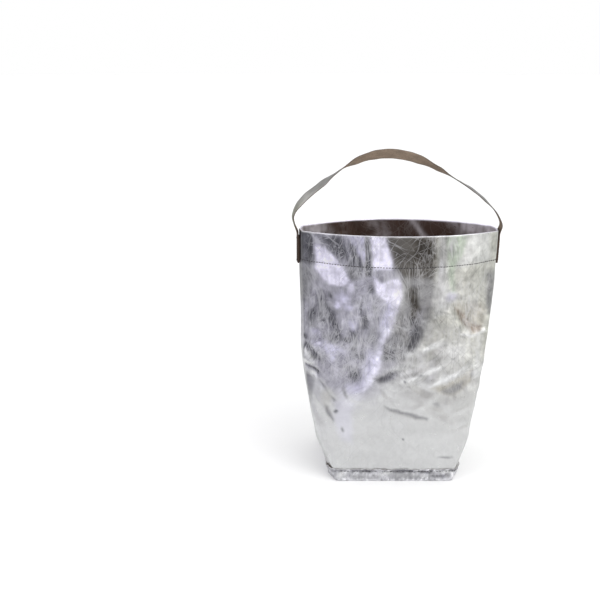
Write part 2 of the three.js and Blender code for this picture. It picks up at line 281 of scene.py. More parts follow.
def press_fold(height, u, v, fold):
    """Adds one straight crease, a tent along its line, to a relief on the axes u and v."""
    u0, v0, u1, v1, width, rise = fold
    reach = width + 0.2 * math.hypot(u1 - u0, v1 - v0)
    i0, i1 = np.searchsorted(v, [min(v0, v1) - reach, max(v0, v1) + reach])
    j0, j1 = np.searchsorted(u, [min(u0, u1) - reach, max(u0, u1) + reach])
    if i0 == i1 or j0 == j1:
        return
    length = math.hypot(u1 - u0, v1 - v0)
    du, dv = (u1 - u0) / length, (v1 - v0) / length
    grid_u, grid_v = u[None, j0:j1] - u0, v[i0:i1, None] - v0
    along = (grid_u * du + grid_v * dv) / length
    away = grid_v * du - grid_u * dv
    tent = np.maximum(0.0, 1.0 - np.sqrt((away / width) ** 2 + 0.003))
    ends = smooth(along, -0.15, 0.3) * smooth(-along, -1.15, -0.7)
    height[i0:i1, j0:j1] += rise * tent * ends


def scattered_folds(draw, count, length, width, rise, reach_u, reach_v, turns=(0.0, math.pi)):
    """Creases at random places, half of them ridges and half valleys."""
    folds = []
    for _ in range(count):
        u, v = draw.uniform(*reach_u), draw.uniform(*reach_v)
        turn = draw.uniform(*turns)
        half = draw.uniform(*length) / 2
        wide = draw.uniform(*width)
        up = draw.uniform(*rise) * draw.choice([-1.0, 1.0])
        du, dv = math.cos(turn) * half, math.sin(turn) * half
        folds.append((u - du, v - dv, u + du, v + dv, wide, up))
    return folds


def scattered_relief(side, u, v):
    """The scattered creases, calmer low on the panel, at its seams and along the front's ridge."""
    draw = np.random.default_rng(RELIEF_SEED[side])
    height = np.zeros((len(v), len(u)))
    reach = ((-QUARTER_GIRTH, QUARTER_GIRTH), (4.0, RIM))
    for count, length, width, rise in SCATTERED:
        for fold in scattered_folds(draw, count, length, width, rise, *reach):
            press_fold(height, u, v, fold)
    grid_u, grid_v = np.meshgrid(u, v)
    height *= 1.0 - 0.72 * smooth(-grid_v, -95.0, -30.0)
    height *= smooth(QUARTER_GIRTH - np.abs(grid_u), 2.0, 34.0)
    if side == "front":
        ridge = np.interp(grid_v, *np.transpose(RIDGE_LINE))
        height *= 1.0 - 0.9 * bell(grid_u, ridge, RIDGE_CALM) * smooth(grid_v, 70.0, 90.0)
    return height


def make_relief(side):
    """How far one panel's crumpled paper stands off the plain tube, on a grid of paper places."""
    u, v = relief_axes()
    grid_u, grid_v = np.meshgrid(u, v)
    height = scattered_relief(side, u, v)
    for fold in FOLDS[side]:
        press_fold(height, u, v, fold)
    for cu, cv, wide, tall, rise in SWELLS[side]:
        height += rise * bell(grid_u, cu, wide) * bell(grid_v, cv, tall)
    height *= calm_edges(grid_u, grid_v)
    height += stitch_dip(grid_v, HEM_STITCH_Z, 0.1)
    height -= 0.9 * smooth(-grid_v, -32.0, -14.0)
    return height


def calm_edges(u, v):
    """Less crumpling at the side seams, at the stitched hem and in the base's border."""
    from_seam = QUARTER_GIRTH - np.abs(u)
    seams = smooth(from_seam, 1.0, 14.0)
    tails = 1.0 - smooth(v, TAIL_LOW[2] - 12.0, TAIL_LOW[2]) * (1.0 - smooth(from_seam, 8.0, 20.0))
    hem = 1.0 - 0.3 * smooth(v, RIM - HEM_DEPTH - 10.0, RIM - 6.0)
    base = lerp(0.1, 1.0, smooth(v, BORDER_TOP - 2.0, BORDER_TOP + 16.0))
    return seams * tails * hem * base


GRIDS = {}                   # the reliefs and tints made so far


def made_once(make, side):
    """A panel's relief or tint, made at its first use."""
    key = (make.__name__, side)
    if key not in GRIDS:
        GRIDS[key] = make(side)
    return GRIDS[key]


def crumple(u, v, side):
    """The relief at any paper places, between the points of its grid."""
    return sample_grid(made_once(make_relief, side), u, v)


# ---- Tints of the film -----------------------------------------------------
# Painted reflections, highlights and shade: the lilac, grey, brown, green and cream tones stand for what
# each part of the crumpled film mirrors.
LILAC, BRIGHT_LILAC, DIM_LILAC = (0.58, 0.57, 0.68), (0.87, 0.85, 0.97), (0.4, 0.395, 0.435)
PALE, BRIGHT, GREY, ASH = (0.57, 0.575, 0.575), (0.71, 0.715, 0.72), (0.29, 0.29, 0.3), (0.34, 0.34, 0.35)
SLATE, UMBER, DARK_UMBER = (0.12, 0.12, 0.132), (0.15, 0.142, 0.13), (0.075, 0.067, 0.059)
GREEN, CREAM, TAN, BROWN = (0.42, 0.47, 0.41), (0.53, 0.53, 0.505), (0.45, 0.435, 0.4), (0.31, 0.27, 0.24)
MIST, SMOKE = (0.6, 0.6, 0.645), (0.5, 0.5, 0.5)
# A painted highlight along the front's long ridge.
RIDGE_HIGHLIGHT_LILAC = (0.74, 0.73, 0.85)
# The hem's inside: a painted dark brown reflection, and a painted pale sheen.
HEM_REFLECTED_BROWN, HEM_SHEEN_GREY = (0.1, 0.062, 0.049), (0.95, 0.91, 0.97)
BORDER_GREY, BORDER_GLINT = (0.5, 0.5, 0.525), (0.95, 0.95, 0.97)
# The strap's tints: grey film, a painted green-gold reflection, and painted shade on the sewn ends.
STRAP_GREY, STRAP_GOLD_REFLECTION, STRAP_SEWN_SHADE = (0.29, 0.285, 0.275), (0.3, 0.3, 0.19), (0.042, 0.029, 0.026)
# Facets between creases, painted with the reflections, highlights and shade that they show: tint, softness
# of the edge, and the corners.
FRONT_FACETS = [
    (DIM_LILAC, 9, [(-110, 240), (0, 240), (0, 120), (-22, 84), (-46, 80), (-110, 128)]),
    (CREAM, 14, [(22, 240), (110, 240), (110, 120), (60, 112), (20, 118)]),
    (SLATE, 1.5, [(-110, 240), (-82, 240), (-80, 222), (-80, 204), (-110, 203)]),
    (GREY, 5, [(-110, 203), (-80, 203), (-78, 190), (-90, 172), (-110, 160)]),
    (BRIGHT_LILAC, 2.2, [(-79, 221), (-70, 221), (-58, 212), (-51, 204), (-46, 194), (-50, 187),
                         (-62, 187), (-72, 192), (-79, 201), (-76, 207)]),
    (SLATE, 3.5, [(-74, 229), (-56, 230), (-50, 222), (-47, 211), (-58, 214), (-66, 222)]),
    (LILAC, 2.0, [(-54, 236), (-32, 236), (-31, 208), (-38, 213), (-47, 228)]),
    (SLATE, 1.8, [(-48, 228), (-43, 223), (-36, 212), (-34, 205), (-48, 206), (-45, 215)]),
    (GREY, 2.5, [(-49, 206), (-33, 206), (-37, 195), (-43, 192), (-48, 200)]),
    (BRIGHT_LILAC, 1.6, [(-28, 236), (-17, 236), (-12, 221), (-9, 211), (-10, 205), (-26, 204)]),
    (GREY, 1.4, [(-33.5, 238), (-28, 238), (-26.5, 202), (-32.5, 202)]),
    (SLATE, 1.0, [(-31.5, 230), (-28.8, 230), (-27, 198), (-32, 198)]),
    (BRIGHT_LILAC, 1.8, [(-25, 198), (-18, 193), (-2, 198), (1, 189), (1, 180), (-4, 169),
                         (-9, 173), (-20, 182), (-24, 190)]),
    (UMBER, 3.4, [(-16, 238), (29, 238), (30, 206), (28, 194), (12, 190), (3, 184), (2, 196),
                  (-5, 203), (-9, 212), (-12, 222)]),
    (ASH, 4, [(-2, 198), (28, 197), (31, 186), (28, 170), (27, 160), (21, 148), (19, 138), (11, 128),
              (0, 121), (-13, 123), (-11, 134), (-7, 146), (-3, 160), (2, 174), (3, 188)]),
    (DARK_UMBER, 4.5, [(8, 238), (24, 238), (25, 210), (8, 211)]),
    (UMBER, 3, [(4, 190), (13, 188), (14, 176), (7, 175), (4, 182)]),
    (DARK_UMBER, 3, [(7, 181), (14, 178), (18, 168), (16, 159), (9, 160), (9, 170)]),
    (SLATE, 3.5, [(8, 162), (15, 158), (20, 144), (13, 129), (7, 134), (10, 146)]),
    (GREY, 3.5, [(-4, 147), (3, 143), (4, 132), (-2, 127), (-7, 133)]),
    (SLATE, 3, [(-13, 137), (-6, 132), (-3, 123), (-12, 121)]),
    (PALE, 2.6, [(32, 238), (35, 238), (43, 200), (46, 166), (30, 160), (28, 186), (31.5, 204)]),
    (BRIGHT, 1.4, [(33.5, 213), (37, 200), (40, 186), (37, 176), (32, 182), (32, 200)]),
    (GREEN, 3, [(36, 238), (62, 238), (54, 216), (47, 203), (48, 186), (46, 180), (42, 200), (39, 212)]),
    (BRIGHT, 4, [(60, 234), (83, 234), (84, 206), (50, 206)]),
    (CREAM, 4.0, [(84, 238), (89, 238), (88, 212), (86, 206)]),
    (GREY, 4, [(82, 196), (94, 196), (97, 174), (88, 156), (81, 166)]),
    (TAN, 3, [(48, 172), (60, 171), (80, 169), (83, 160), (79, 144), (68, 144), (58, 152), (51, 161)]),
    (BROWN, 2, [(50, 168), (56, 165), (66, 152), (78, 147), (78, 142), (66, 143), (57, 152)]),
    (BRIGHT, 0.9, [(54, 144), (66, 141.2), (82, 143.5), (84, 141.5), (66, 139), (55, 141.5)]),
    (LILAC, 4.0, [(-12, 176), (-2, 172), (-6, 158), (-11, 146), (-14, 134), (-16, 120), (-18, 108),
                  (-23, 97), (-33, 87), (-44, 82), (-43, 92), (-35, 101), (-30, 112), (-28, 124),
                  (-22, 141), (-18, 156), (-14, 166)]),
    (RIDGE_HIGHLIGHT_LILAC, 2.0, [(-6, 174), (-2, 171), (-6, 158), (-11, 146), (-14, 134), (-16, 121), (-18, 108),
                         (-22, 98), (-30, 89), (-29, 95), (-24, 104), (-21, 120), (-17, 138),
                         (-12, 152), (-9, 164)]),
    (SLATE, 1.6, [(-85, 131), (-80, 131), (-66, 119), (-66, 116), (-74, 118), (-85, 127)]),
    (PALE, 1.4, [(-92, 126), (-82, 125), (-70, 115), (-73, 112), (-92, 113)]),
    (SLATE, 1.1, [(-83, 112.5), (-70, 109.5), (-67, 106), (-68, 101), (-72, 106.5)]),
    (BRIGHT, 0.9, [(-82, 110), (-73, 105), (-69, 99), (-72, 100), (-79, 106)]),
    (GREY, 5, [(-97, 103), (-80, 104), (-73, 96), (-72, 83), (-76, 72), (-90, 76), (-97, 86)]),
    (PALE, 1.5, [(-70, 96), (-66, 92), (-55, 80), (-51, 71), (-56, 66), (-62, 60), (-69, 70), (-72, 82)]),
    (GREY, 1.0, [(-68.5, 99), (-66.5, 98), (-51, 79), (-53, 78)]),
    (MIST, 4, [(-48, 90), (-34, 88), (-38, 68), (-38, 54), (-40, 38), (-48, 42), (-52, 56), (-52, 66)]),
    (PALE, 2.0, [(-42, 86), (-35, 84), (-33, 79), (-40, 80)]),
    (GREY, 1.6, [(-61, 77), (-57, 74), (-52.5, 61), (-54, 59), (-58, 67)]),
    (TAN, 3, [(30, 92), (45, 96), (58, 102), (69, 108), (72, 104), (69, 96), (59, 88), (50, 84), (40, 86)]),
    (GREY, 2.5, [(40, 88), (50, 93), (60, 96), (60, 90), (50, 85)]),
    (GREY, 3, [(-20, 103), (-10, 109), (0, 112), (2, 106), (-4, 99), (-16, 98)]),
    (SLATE, 2, [(-18, 102), (-10, 107), (-2, 110), (-3, 105), (-7, 101), (-15, 99.5)]),
    (SMOKE, 4, [(-2, 112), (22, 112), (40, 120), (46, 116), (36, 108), (20, 101), (2, 96)]),
    (SMOKE, 3, [(4, 92), (24, 91), (34, 84), (22, 78), (8, 84)]),
    (BRIGHT, 7, [(34, 134), (62, 134), (64, 120), (44, 118), (34, 126)]),
    (BRIGHT, 1.6, [(2, 106), (20, 112), (38, 122), (50, 130), (40, 125), (20, 115), (2, 109)]),
    (BRIGHT, 1.6, [(4, 100), (20, 103.5), (38, 112), (50, 119), (40, 115.5), (20, 106.5), (4, 103)]),
    (BRIGHT, 1.6, [(27, 95), (45, 101), (61, 111), (68, 116), (60, 109), (45, 98.5), (29, 93)]),
    (GREY, 1.6, [(-11, 76), (-4, 73), (10, 70), (20, 65), (29, 63), (28, 61), (17, 62), (8, 67), (-6, 71)]),
]
# Spots of painted reflection, highlight and shade: tint, middle (u, v), half-sizes, turn in degrees.
FRONT_SPOTS = [
    (SLATE, -72, 172, 5, 9, 10), (SLATE, -62, 158, 5, 8, -6), (GREY, -78, 150, 6, 10, 0),
    (LILAC, -52, 176, 6, 7, 0), (GREY, -60, 136, 6, 5, 0), (SLATE, -40, 146, 4, 9, 5),
    (SLATE, -82, 214, 1.8, 7, 0), (SLATE, -27, 187, 2.4, 4, 10), (SLATE, -72, 182, 2, 1.6, 0),
    (SLATE, -63, 177, 1.8, 3.6, 40), (GREY, -86, 178, 4, 8, 0), (GREY, -70, 158, 6, 8, 10),
    (SLATE, -68, 153, 3, 2, 0), (SLATE, -30, 160, 2.4, 8, 0), (SLATE, -54, 142, 4.4, 7, 8),
    (SLATE, -46, 138, 3, 2.6, 0), (GREY, -38, 130, 3, 8, 0), (SLATE, -32, 122, 3, 3, 0),
    (SLATE, -37, 105, 5.4, 7, 12), (GREY, -55, 165, 3, 3, 0), (GREY, -23, 170, 2, 4, 20),
    (GREY, -22, 142, 6, 12, 8), (LILAC, -45, 168, 4, 3, 0), (LILAC, -41, 153, 4, 4, 0),
    (BRIGHT_LILAC, -45, 187, 3, 5, -10), (LILAC, -64, 130, 14, 5, -20), (LILAC, -57, 122, 4, 5, 0),
    (MIST, -35, 84, 6, 3, 0), (GREY, -44, 88, 1.6, 5, 15), (SLATE, -50.5, 69, 1.8, 1.4, 0),
    (GREY, -47, 53, 1.1, 2.4, 0), (TAN, 72, 153, 5, 4, -20), (BROWN, 70, 147, 5, 1.4, -12),
    (CREAM, 45, 158, 5, 9, 10), (LILAC, 45, 178, 5, 4, 0), (GREY, 42, 222, 3, 5, 0),
    (SLATE, 6.5, 101, 1.4, 1.4, 0), (GREY, 21, 105, 2.4, 1.5, 0), (GREY, 36, 76, 4, 2, -20),
    (SLATE, 6.8, 43.3, 0.9, 0.9, 0), (GREY, 49, 23.5, 6, 1.1, 0), (GREY, 70, 104, 2, 3, -20),
    (SLATE, -66, 166, 3, 5, 12), (SLATE, -80, 158, 4, 8, -8), (SLATE, -57, 152, 3, 6, 20),
    (SLATE, -34, 168, 1.6, 8, 4), (LILAC, -74, 142, 5, 3, 0), (LILAC, -56, 168, 3, 3, 30),
    (SLATE, -84, 136, 3, 3, 0), (GREY, -76, 96, 3, 8, 10), (CREAM, -60, 82, 5, 7, -20),
    (BRIGHT, 25, 130, 10, 3, 30), (PALE, 60, 72, 24, 10, 0), (PALE, 74, 118, 3, 18, -8),
    (SMOKE, 20, 88, 14, 4, -12), (SMOKE, 40, 64, 12, 3, -30), (SMOKE, -66, 62, 2.4, 7, 24),
]
# The back's facets and spots are painted reflections, highlights and shade as well.
BACK_FACETS = [
    (DIM_LILAC, 12, [(-20, 240), (110, 240), (110, 110), (40, 100), (0, 150)]),
    (GREY, 3.0, [(110, 240), (84, 240), (82, 222), (82, 204), (110, 203)]),
    (BRIGHT_LILAC, 2.5, [(24, 236), (52, 236), (48, 208), (30, 190), (25, 200)]),
    (UMBER, 5.0, [(-36, 238), (20, 238), (21, 204), (8, 190), (-12, 184), (-20, 200)]),
    (SLATE, 2.5, [(-26, 234), (-14, 236), (-2, 208), (-8, 198), (-16, 206)]),
    (GREY, 4, [(-12, 184), (22, 192), (28, 176), (12, 134), (-2, 142), (-14, 178)]),
    (BRIGHT_LILAC, 2, [(-18, 180), (-14, 182), (0, 142), (16, 98), (10, 96), (-7, 140)]),
    (SLATE, 2, [(58, 166), (62, 168), (40, 122), (33, 120)]),
    (LILAC, 3, [(64, 180), (82, 176), (76, 142), (58, 150)]),
    (SLATE, 1.6, [(75, 142), (70, 144), (48, 118), (52, 115)]),
    (PALE, 2, [(-88, 200), (-44, 204), (-30, 180), (-52, 160), (-88, 170)]),
    (TAN, 3, [(-80, 166), (-52, 148), (-46, 130), (-58, 128), (-80, 150)]),
    (GREY, 3, [(-76, 112), (-42, 106), (-32, 92), (-60, 92)]),
    (BRIGHT, 2, [(40, 94), (76, 108), (76, 112), (42, 100)]),
]
BACK_SPOTS = [
    (SLATE, 36, 160, 4, 9, 20), (SLATE, 60, 190, 4, 4, 0), (GREY, -20, 120, 8, 5, 10),
    (GREY, -60, 210, 8, 6, 0), (BRIGHT_LILAC, 40, 178, 6, 5, 0), (SLATE, -14, 104, 3, 2, 0),
    (GREY, 12, 70, 14, 1.6, -12), (SLATE, -32, 46, 1, 1, 0), (LILAC, 56, 60, 5, 14, 10),
    (SMOKE, -42, 60, 15, 3, -12), (GREY, 34, 54, 11, 1.5, 28), (SMOKE, 20, 30, 16, 3, 8),
    (SMOKE, 62, 84, 8, 4, -30), (BRIGHT, -44, 66, 13, 2, -12), (BRIGHT, 30, 59, 11, 2, 28),
    (GREY, 70, 128, 6, 6, 0), (BROWN, -56, 138, 8, 2, -30), (GREEN, -60, 190, 12, 8, 0),
]
FACETS = {"front": FRONT_FACETS, "back": BACK_FACETS}
SPOTS = {"front": FRONT_SPOTS, "back": BACK_SPOTS}
TINT_SEED = {"front": 3, "back": 23}
# How the facets' and spots' edges wander off their lines: over what length, and how far.
EDGE_WANDER = ((16.0, 1.0), (5.0, 0.6), (2.4, 0.4))
WANDER_CELLS = 64            # the random values repeat after this many cells
WANDER_START = 300.0         # keeps the places positive


def wander(u, v, cell, seed):
    """Smooth random values between -1 and 1, changing over about one cell."""
    table = np.random.default_rng(seed).uniform(-1.0, 1.0, (WANDER_CELLS, WANDER_CELLS))
    x, y = (u + WANDER_START) / cell, (v + WANDER_START) / cell
    j, i = np.floor(x).astype(int), np.floor(y).astype(int)
    s, t = smooth(x - j, 0.0, 1.0), smooth(y - i, 0.0, 1.0)
    first, after = j % WANDER_CELLS, (j + 1) % WANDER_CELLS
    low = lerp(table[i % WANDER_CELLS, first], table[i % WANDER_CELLS, after], s)
    high = lerp(table[(i + 1) % WANDER_CELLS, first], table[(i + 1) % WANDER_CELLS, after], s)
    return lerp(low, high, t)


def inside_share(u, v, corners, soft):
    """1 inside an outline on the paper, 0 outside it, with a soft edge."""
    nearest = np.full(u.shape, np.inf)
    inside = np.zeros(u.shape, bool)
    for (a, b), (c, d) in zip(corners, corners[1:] + corners[:1]):
        du, dv = c - a, d - b
        along = np.clip(((u - a) * du + (v - b) * dv) / (du * du + dv * dv), 0.0, 1.0)
        nearest = np.minimum(nearest, np.hypot(u - a - along * du, v - b - along * dv))
        if dv:
            inside ^= ((b > v) != (d > v)) & (u < a + (v - b) * du / dv)
    return smooth(np.where(inside, nearest, -nearest), -soft, soft)


def spot_share(u, v, cu, cv, wide, tall, turn):
    turned = math.radians(turn)
    across = (u - cu) * math.cos(turned) + (v - cv) * math.sin(turned)
    along = (v - cv) * math.cos(turned) - (u - cu) * math.sin(turned)
    return smooth(-np.hypot(across / wide, along / tall), -1.75, -0.1)


def toned(tint, tone, share):
    """A tint, taking on another tone as far as share says, 0 to 1."""
    return lerp(tint, np.array(tone), share[..., None])


def paint_panel(side):
    """The film's tint over one panel, on the relief's grid: painted reflections, highlights and shade in
    facets and spots, mottling, and a painted highlight along the rim.
    """
    grid_u, grid_v = np.meshgrid(*relief_axes())
    seed = TINT_SEED[side]
    bent_u, bent_v = grid_u, grid_v
    for cell, reach in EDGE_WANDER:
        bent_u = bent_u + reach * wander(grid_u, grid_v, cell, seed)
        bent_v = bent_v + reach * wander(grid_u, grid_v, cell, seed + 1)
        seed += 2
    tint = np.broadcast_to(PALE, grid_u.shape + (3,)).copy()
    for tone, soft, corners in FACETS[side]:
        tint = toned(tint, tone, inside_share(bent_u, bent_v, corners, soft))
    for tone, *spot in SPOTS[side]:
        tint = toned(tint, tone, spot_share(bent_u, bent_v, *spot))
    # Mottling: clouds, and streaks up and across. It is strong above and nearly gone below.
    mottle = 0.5 * wander(bent_u, bent_v, 7.0, seed) + 0.4 * wander(bent_u, bent_v, 3.2, seed + 1)
    mottle += 0.4 * wander(bent_u, bent_v * 0.16, 1.7, seed + 2)
    mottle += 0.3 * wander(bent_u * 0.2, bent_v, 1.9, seed + 3)
    calm = smooth(-grid_v, -115.0, -80.0)
    tint *= (1.0 + lerp(0.34, 0.03, calm) * mottle)[..., None]
    broad = wander(bent_u * 0.35, bent_v, 9.0, seed + 4)
    tint *= (1.0 + 0.05 * calm * broad)[..., None]
    # A painted highlight along the rim's fold.
    return toned(tint, BRIGHT, 0.8 * smooth(grid_v, RIM - 1.2, RIM - 0.3))


SEAM_MATCH = 20.0


def match_seams(tint, other):
    """A panel's tint, taking on the other panel's over the last SEAM_MATCH before the side seams."""
    u = np.linspace(-QUARTER_GIRTH, QUARTER_GIRTH, tint.shape[1])
    share = smooth(np.abs(u), QUARTER_GIRTH - SEAM_MATCH, QUARTER_GIRTH - 1.0)
    return lerp(tint, other, share[None, :, None])


# Painted sheen streaks that slant across the hem: strength, middle and half-width.
HEM_SHEEN_STREAKS = [(0.55, 16.0, 3.5), (0.8, 60.0, 1.2), (0.3, -20.0, 9.0)]


def paint_hem(x, depth_below):
    """The turned hem's tint: a painted dark reflection of the bag's brown inside, with painted pale sheen
    near the corners and in slanting streaks between.
    """
    slant = x - 0.8 * depth_below
    pale = 0.9 * smooth(np.abs(slant + 8.0), 50.0, 74.0)
    for strength, middle, width in HEM_SHEEN_STREAKS:
        pale = np.maximum(pale, strength * bell(slant, middle, width))
    pale *= 0.72 + 0.4 * wander(x, depth_below, 6.0, 77) + 0.3 * wander(x, depth_below * 0.3, 2.0, 78)
    tint = toned(np.array(HEM_REFLECTED_BROWN), HEM_SHEEN_GREY, np.clip(pale, 0.0, 1.0))
    # A painted highlight at the top of the hem, just under the rim's fold.
    return toned(tint, BRIGHT_LILAC, 0.85 * smooth(-depth_below, -2.4, -0.9))


BORDER_SEED = {"front": 61, "back": 67}
# Painted highlights and shade on the border at the base, on the front: tint, middle (u, v), half-sizes, turn
# in degrees.
BORDER_SPOTS = [
    (SLATE, -38, 11.2, 5, 1.8, 0), (SLATE, -24, 11.0, 9, 1.6, 0), (GREY, -2, 10.0, 9, 2.5, 0),
    (SLATE, 8, 10.8, 12, 1.8, 0), (GREY, 12, 5.5, 16, 3, 0), (SLATE, 44, 5.5, 8, 1.8, 0),
    (SLATE, 30, 9.5, 9, 1.0, -6), (BRIGHT, -52, 6.5, 4.5, 2.6, 30), (BRIGHT, 50, 10.0, 5, 1.5, 0),
    (GREY, -34, 4.5, 10, 2.5, 0), (BRIGHT, -9, 8.0, 6, 1.6, 15), (SLATE, -60, 10, 4, 1.5, -20),
]


def paint_border(u, v, side):
    """The tint of the base's turned-up border: streaks across it, painted shade in hollows at its sewn edge,
    painted glints, and painted highlights and shade in spots on the front.
    """
    seed = BORDER_SEED[side]
    streak = 0.6 * wander(u, v * 0.5, 1.5, seed) + 0.4 * wander(u, v, 4.0, seed + 1)
    tint = np.array(BORDER_GREY) * (1.0 + 0.55 * streak)[..., None]
    # Painted shade in the hollows under the sewn top edge, then painted glints.
    hollow = smooth(v, 7.0, 10.5) * smooth(wander(u, v * 0.6, 4.0, seed + 2), -0.3, 0.4)
    tint = toned(tint, SLATE, 0.75 * hollow)
    glint = smooth(wander(u, v, 1.7, seed + 3), 0.35, 0.8) * smooth(wander(u, v, 6.0, seed + 4), -0.3, 0.3)
    tint = toned(tint, BORDER_GLINT, 0.8 * glint)
    for tone, *spot in BORDER_SPOTS if side == "front" else []:
        tint = toned(tint, tone, 0.75 * spot_share(u, v, *spot))
    return tint


def sample_grid(grid, u, v):
    """Values of a relief or tint grid at any paper places, between its points."""
    column = np.clip((u + QUARTER_GIRTH) / RELIEF_STEP, 0.0, grid.shape[1] - 1.001)
    row = np.clip(v / RELIEF_STEP, 0.0, grid.shape[0] - 1.001)
    j, i = column.astype(int), row.astype(int)
    s, t = column - j, row - i
    if grid.ndim == 3:
        s, t = s[..., None], t[..., None]
    return lerp(lerp(grid[i, j], grid[i, j + 1], s), lerp(grid[i + 1, j], grid[i + 1, j + 1], s), t)


def stitch_dip(v, level, depth):
    """The paper is pinched along a row of stitches."""
    return -depth * bell(v, level, 1.4)


# How each side of the bag sags: how far, at what height, and over what height.
LEFT_SAG = [(4.2, 58.0, 30.0), (5.2, 105.0, 40.0)]
RIGHT_SAG = [(1.7, 98.0, 34.0), (0.7, 150.0, 22.0)]


def side_lean(x_sign, v):
    """How far each side of the bag sags outwards from the plain shape."""
    left, right = [sum(far * bell(v, *at) for far, *at in sag) for sag in (LEFT_SAG, RIGHT_SAG)]
    return np.where(x_sign < 0, left, right)


def wall_points(side, u, v, out):
    """Points of a panel. u (columns) and v, out (rows) are 1-D; out is the distance off the face."""
    share = 1.0 - np.abs(u) / QUARTER_GIRTH
    order = np.argsort(share)
    half_width, depth, angle = [np.empty((len(v), len(u))) for _ in range(3)]
    for grid, values in zip((half_width, depth, angle), outline(v, share[order])):
        grid[:, order] = values
    grid_u, grid_v = np.meshgrid(u, v)
    off = crumple(grid_u, grid_v, side) + np.asarray(out, float)[:, None]
    sign = np.where(grid_u < 0, -1.0, 1.0)
    reach = half_width + off * np.cos(angle)
    lean = side_lean(sign, grid_v) * smooth(half_width, 0.0, HALF_MOUTH * 0.9)
    x = sign * (reach + lean)
    y = -np.maximum(depth + off * np.sin(angle), np.minimum(depth, 0.05))
    if side == "back":
        return np.stack([x, -y, grid_v], -1)
    arch = np.cos(grid_u / QUARTER_GIRTH * math.pi / 2)
    return np.stack([x, y, grid_v + RIM_ARCH * arch * smooth(grid_v, HEM_STITCH_Z, RIM)], -1)


COLUMN_STEP = 1.05
ROW_STEP = 1.05
# The third number of a paper place, which gives each sheet a grain of its own.
GRAIN = {"front": 0.0, "back": 300.0, "strap": 50.0}


def panel_columns():
    """Places across a panel, seam to seam, as arc lengths from its middle."""
    count = int(2 * QUARTER_GIRTH / COLUMN_STEP)
    return np.linspace(PANEL_EDGE, -PANEL_EDGE, count)


def turned_sheet_path():
    """Stations up the wall, over the rim and down the hem: height and offset of face and back."""
    fold = PAPER + HEM_GAP / 2
    top = RIM - fold
    wall = np.linspace(FOOT, top, int((top - FOOT) / ROW_STEP))
    hem = np.linspace(top, RIM - HEM_DEPTH, int((HEM_DEPTH - fold) / ROW_STEP))
    bend = np.radians(np.linspace(0.0, 180.0, 9))[1:-1]
    face_v = np.concatenate([wall, top + fold * np.sin(bend), hem])
    face_out = np.concatenate([wall * 0.0, fold * np.cos(bend) - fold, hem * 0.0 - 2 * fold])
    inner = HEM_GAP / 2
    back_v = np.concatenate([wall, top + inner * np.sin(bend), hem])
    back_out = np.concatenate([wall * 0.0 - PAPER, inner * np.cos(bend) - fold, hem * 0.0 - fold - inner])
    return face_v, face_out, back_v, back_out


def make_panel(side):
    u = panel_columns()
    face_v, face_out, back_v, back_out = turned_sheet_path()
    face = wall_points(side, u, face_v, face_out)
    back = wall_points(side, u, back_v, back_out)
    length = np.cumsum(np.hypot(np.diff(face_v, prepend=0.0), np.diff(face_out, prepend=0.0)))
    grid_u, grid_length = np.meshgrid(u, length)
    paper = np.stack([grid_u, grid_length, np.full_like(grid_u, GRAIN[side])], -1)
    painted = made_once(paint_panel, side)
    if side == "back":
        painted = match_seams(painted, made_once(paint_panel, "front"))
    tint = sample_grid(painted, grid_u, np.minimum(grid_length, RIM))
    turned = grid_length > RIM
    tint[turned] = paint_hem(face[..., 0], grid_length - RIM)[turned]
    if side == "back":
        face, back, paper, tint = face[:, ::-1], back[:, ::-1], paper[:, ::-1], tint[:, ::-1]
    return sheet_piece(side + "_sheet", face, back, paper=paper, tint=tint)


# ---- Base ------------------------------------------------------------------
BASE_FOLD = 1.0              # rounding of the base's lower edge
BASE_REACH = 55.0            # the base sheet's mean reach from its middle
BASE_RINGS = 26
FIRST_RING = 0.0006          # the innermost ring, as a share of the outline: less than 0.1 mm across
BORDER_ROWS = 13
BORDER_CLEAR = 0.15          # lifts the crinkles off the wall
TOP_WAVES = ((0.8, 9.0, 7), (0.9, 2.6, 8))   # the border's top edge: strength, length, seed
TOP_DROP = 0.04              # how deep these waves cut into the border, as a share of its height
BACK_BORDER = 400.0          # sets the back border's grain apart from the front's


def ring_points(v, out):
    """A closed ring round both panels at height v and offset out: one row of points for each."""
    u = panel_columns()
    front = wall_points("front", u, v, out)
    back = wall_points("back", u, v, out)
    return np.concatenate([front, back[:, ::-1]], 1)


def border_crinkle(count, rows, seed):
    """Fine creases of the base's border, as offsets for each row and column."""
    draw = np.random.default_rng(seed)
    around = np.arange(count) * COLUMN_STEP
    rise = np.linspace(0.0, BORDER_TOP, rows)
    height = np.zeros((rows, count))
    reach = ((0.0, around[-1]), (-1.0, BORDER_TOP + 1.0))
    steep = (0.28 * math.pi, 0.72 * math.pi)
    for fold in scattered_folds(draw, 300, (6, 16), (1.3, 2.8), (0.2, 0.75), *reach, steep):
        press_fold(height, around, rise, fold)
    for fold in scattered_folds(draw, 420, (3, 9), (1.1, 2.0), (0.1, 0.4), *reach):
        press_fold(height, around, rise, fold)
    return height


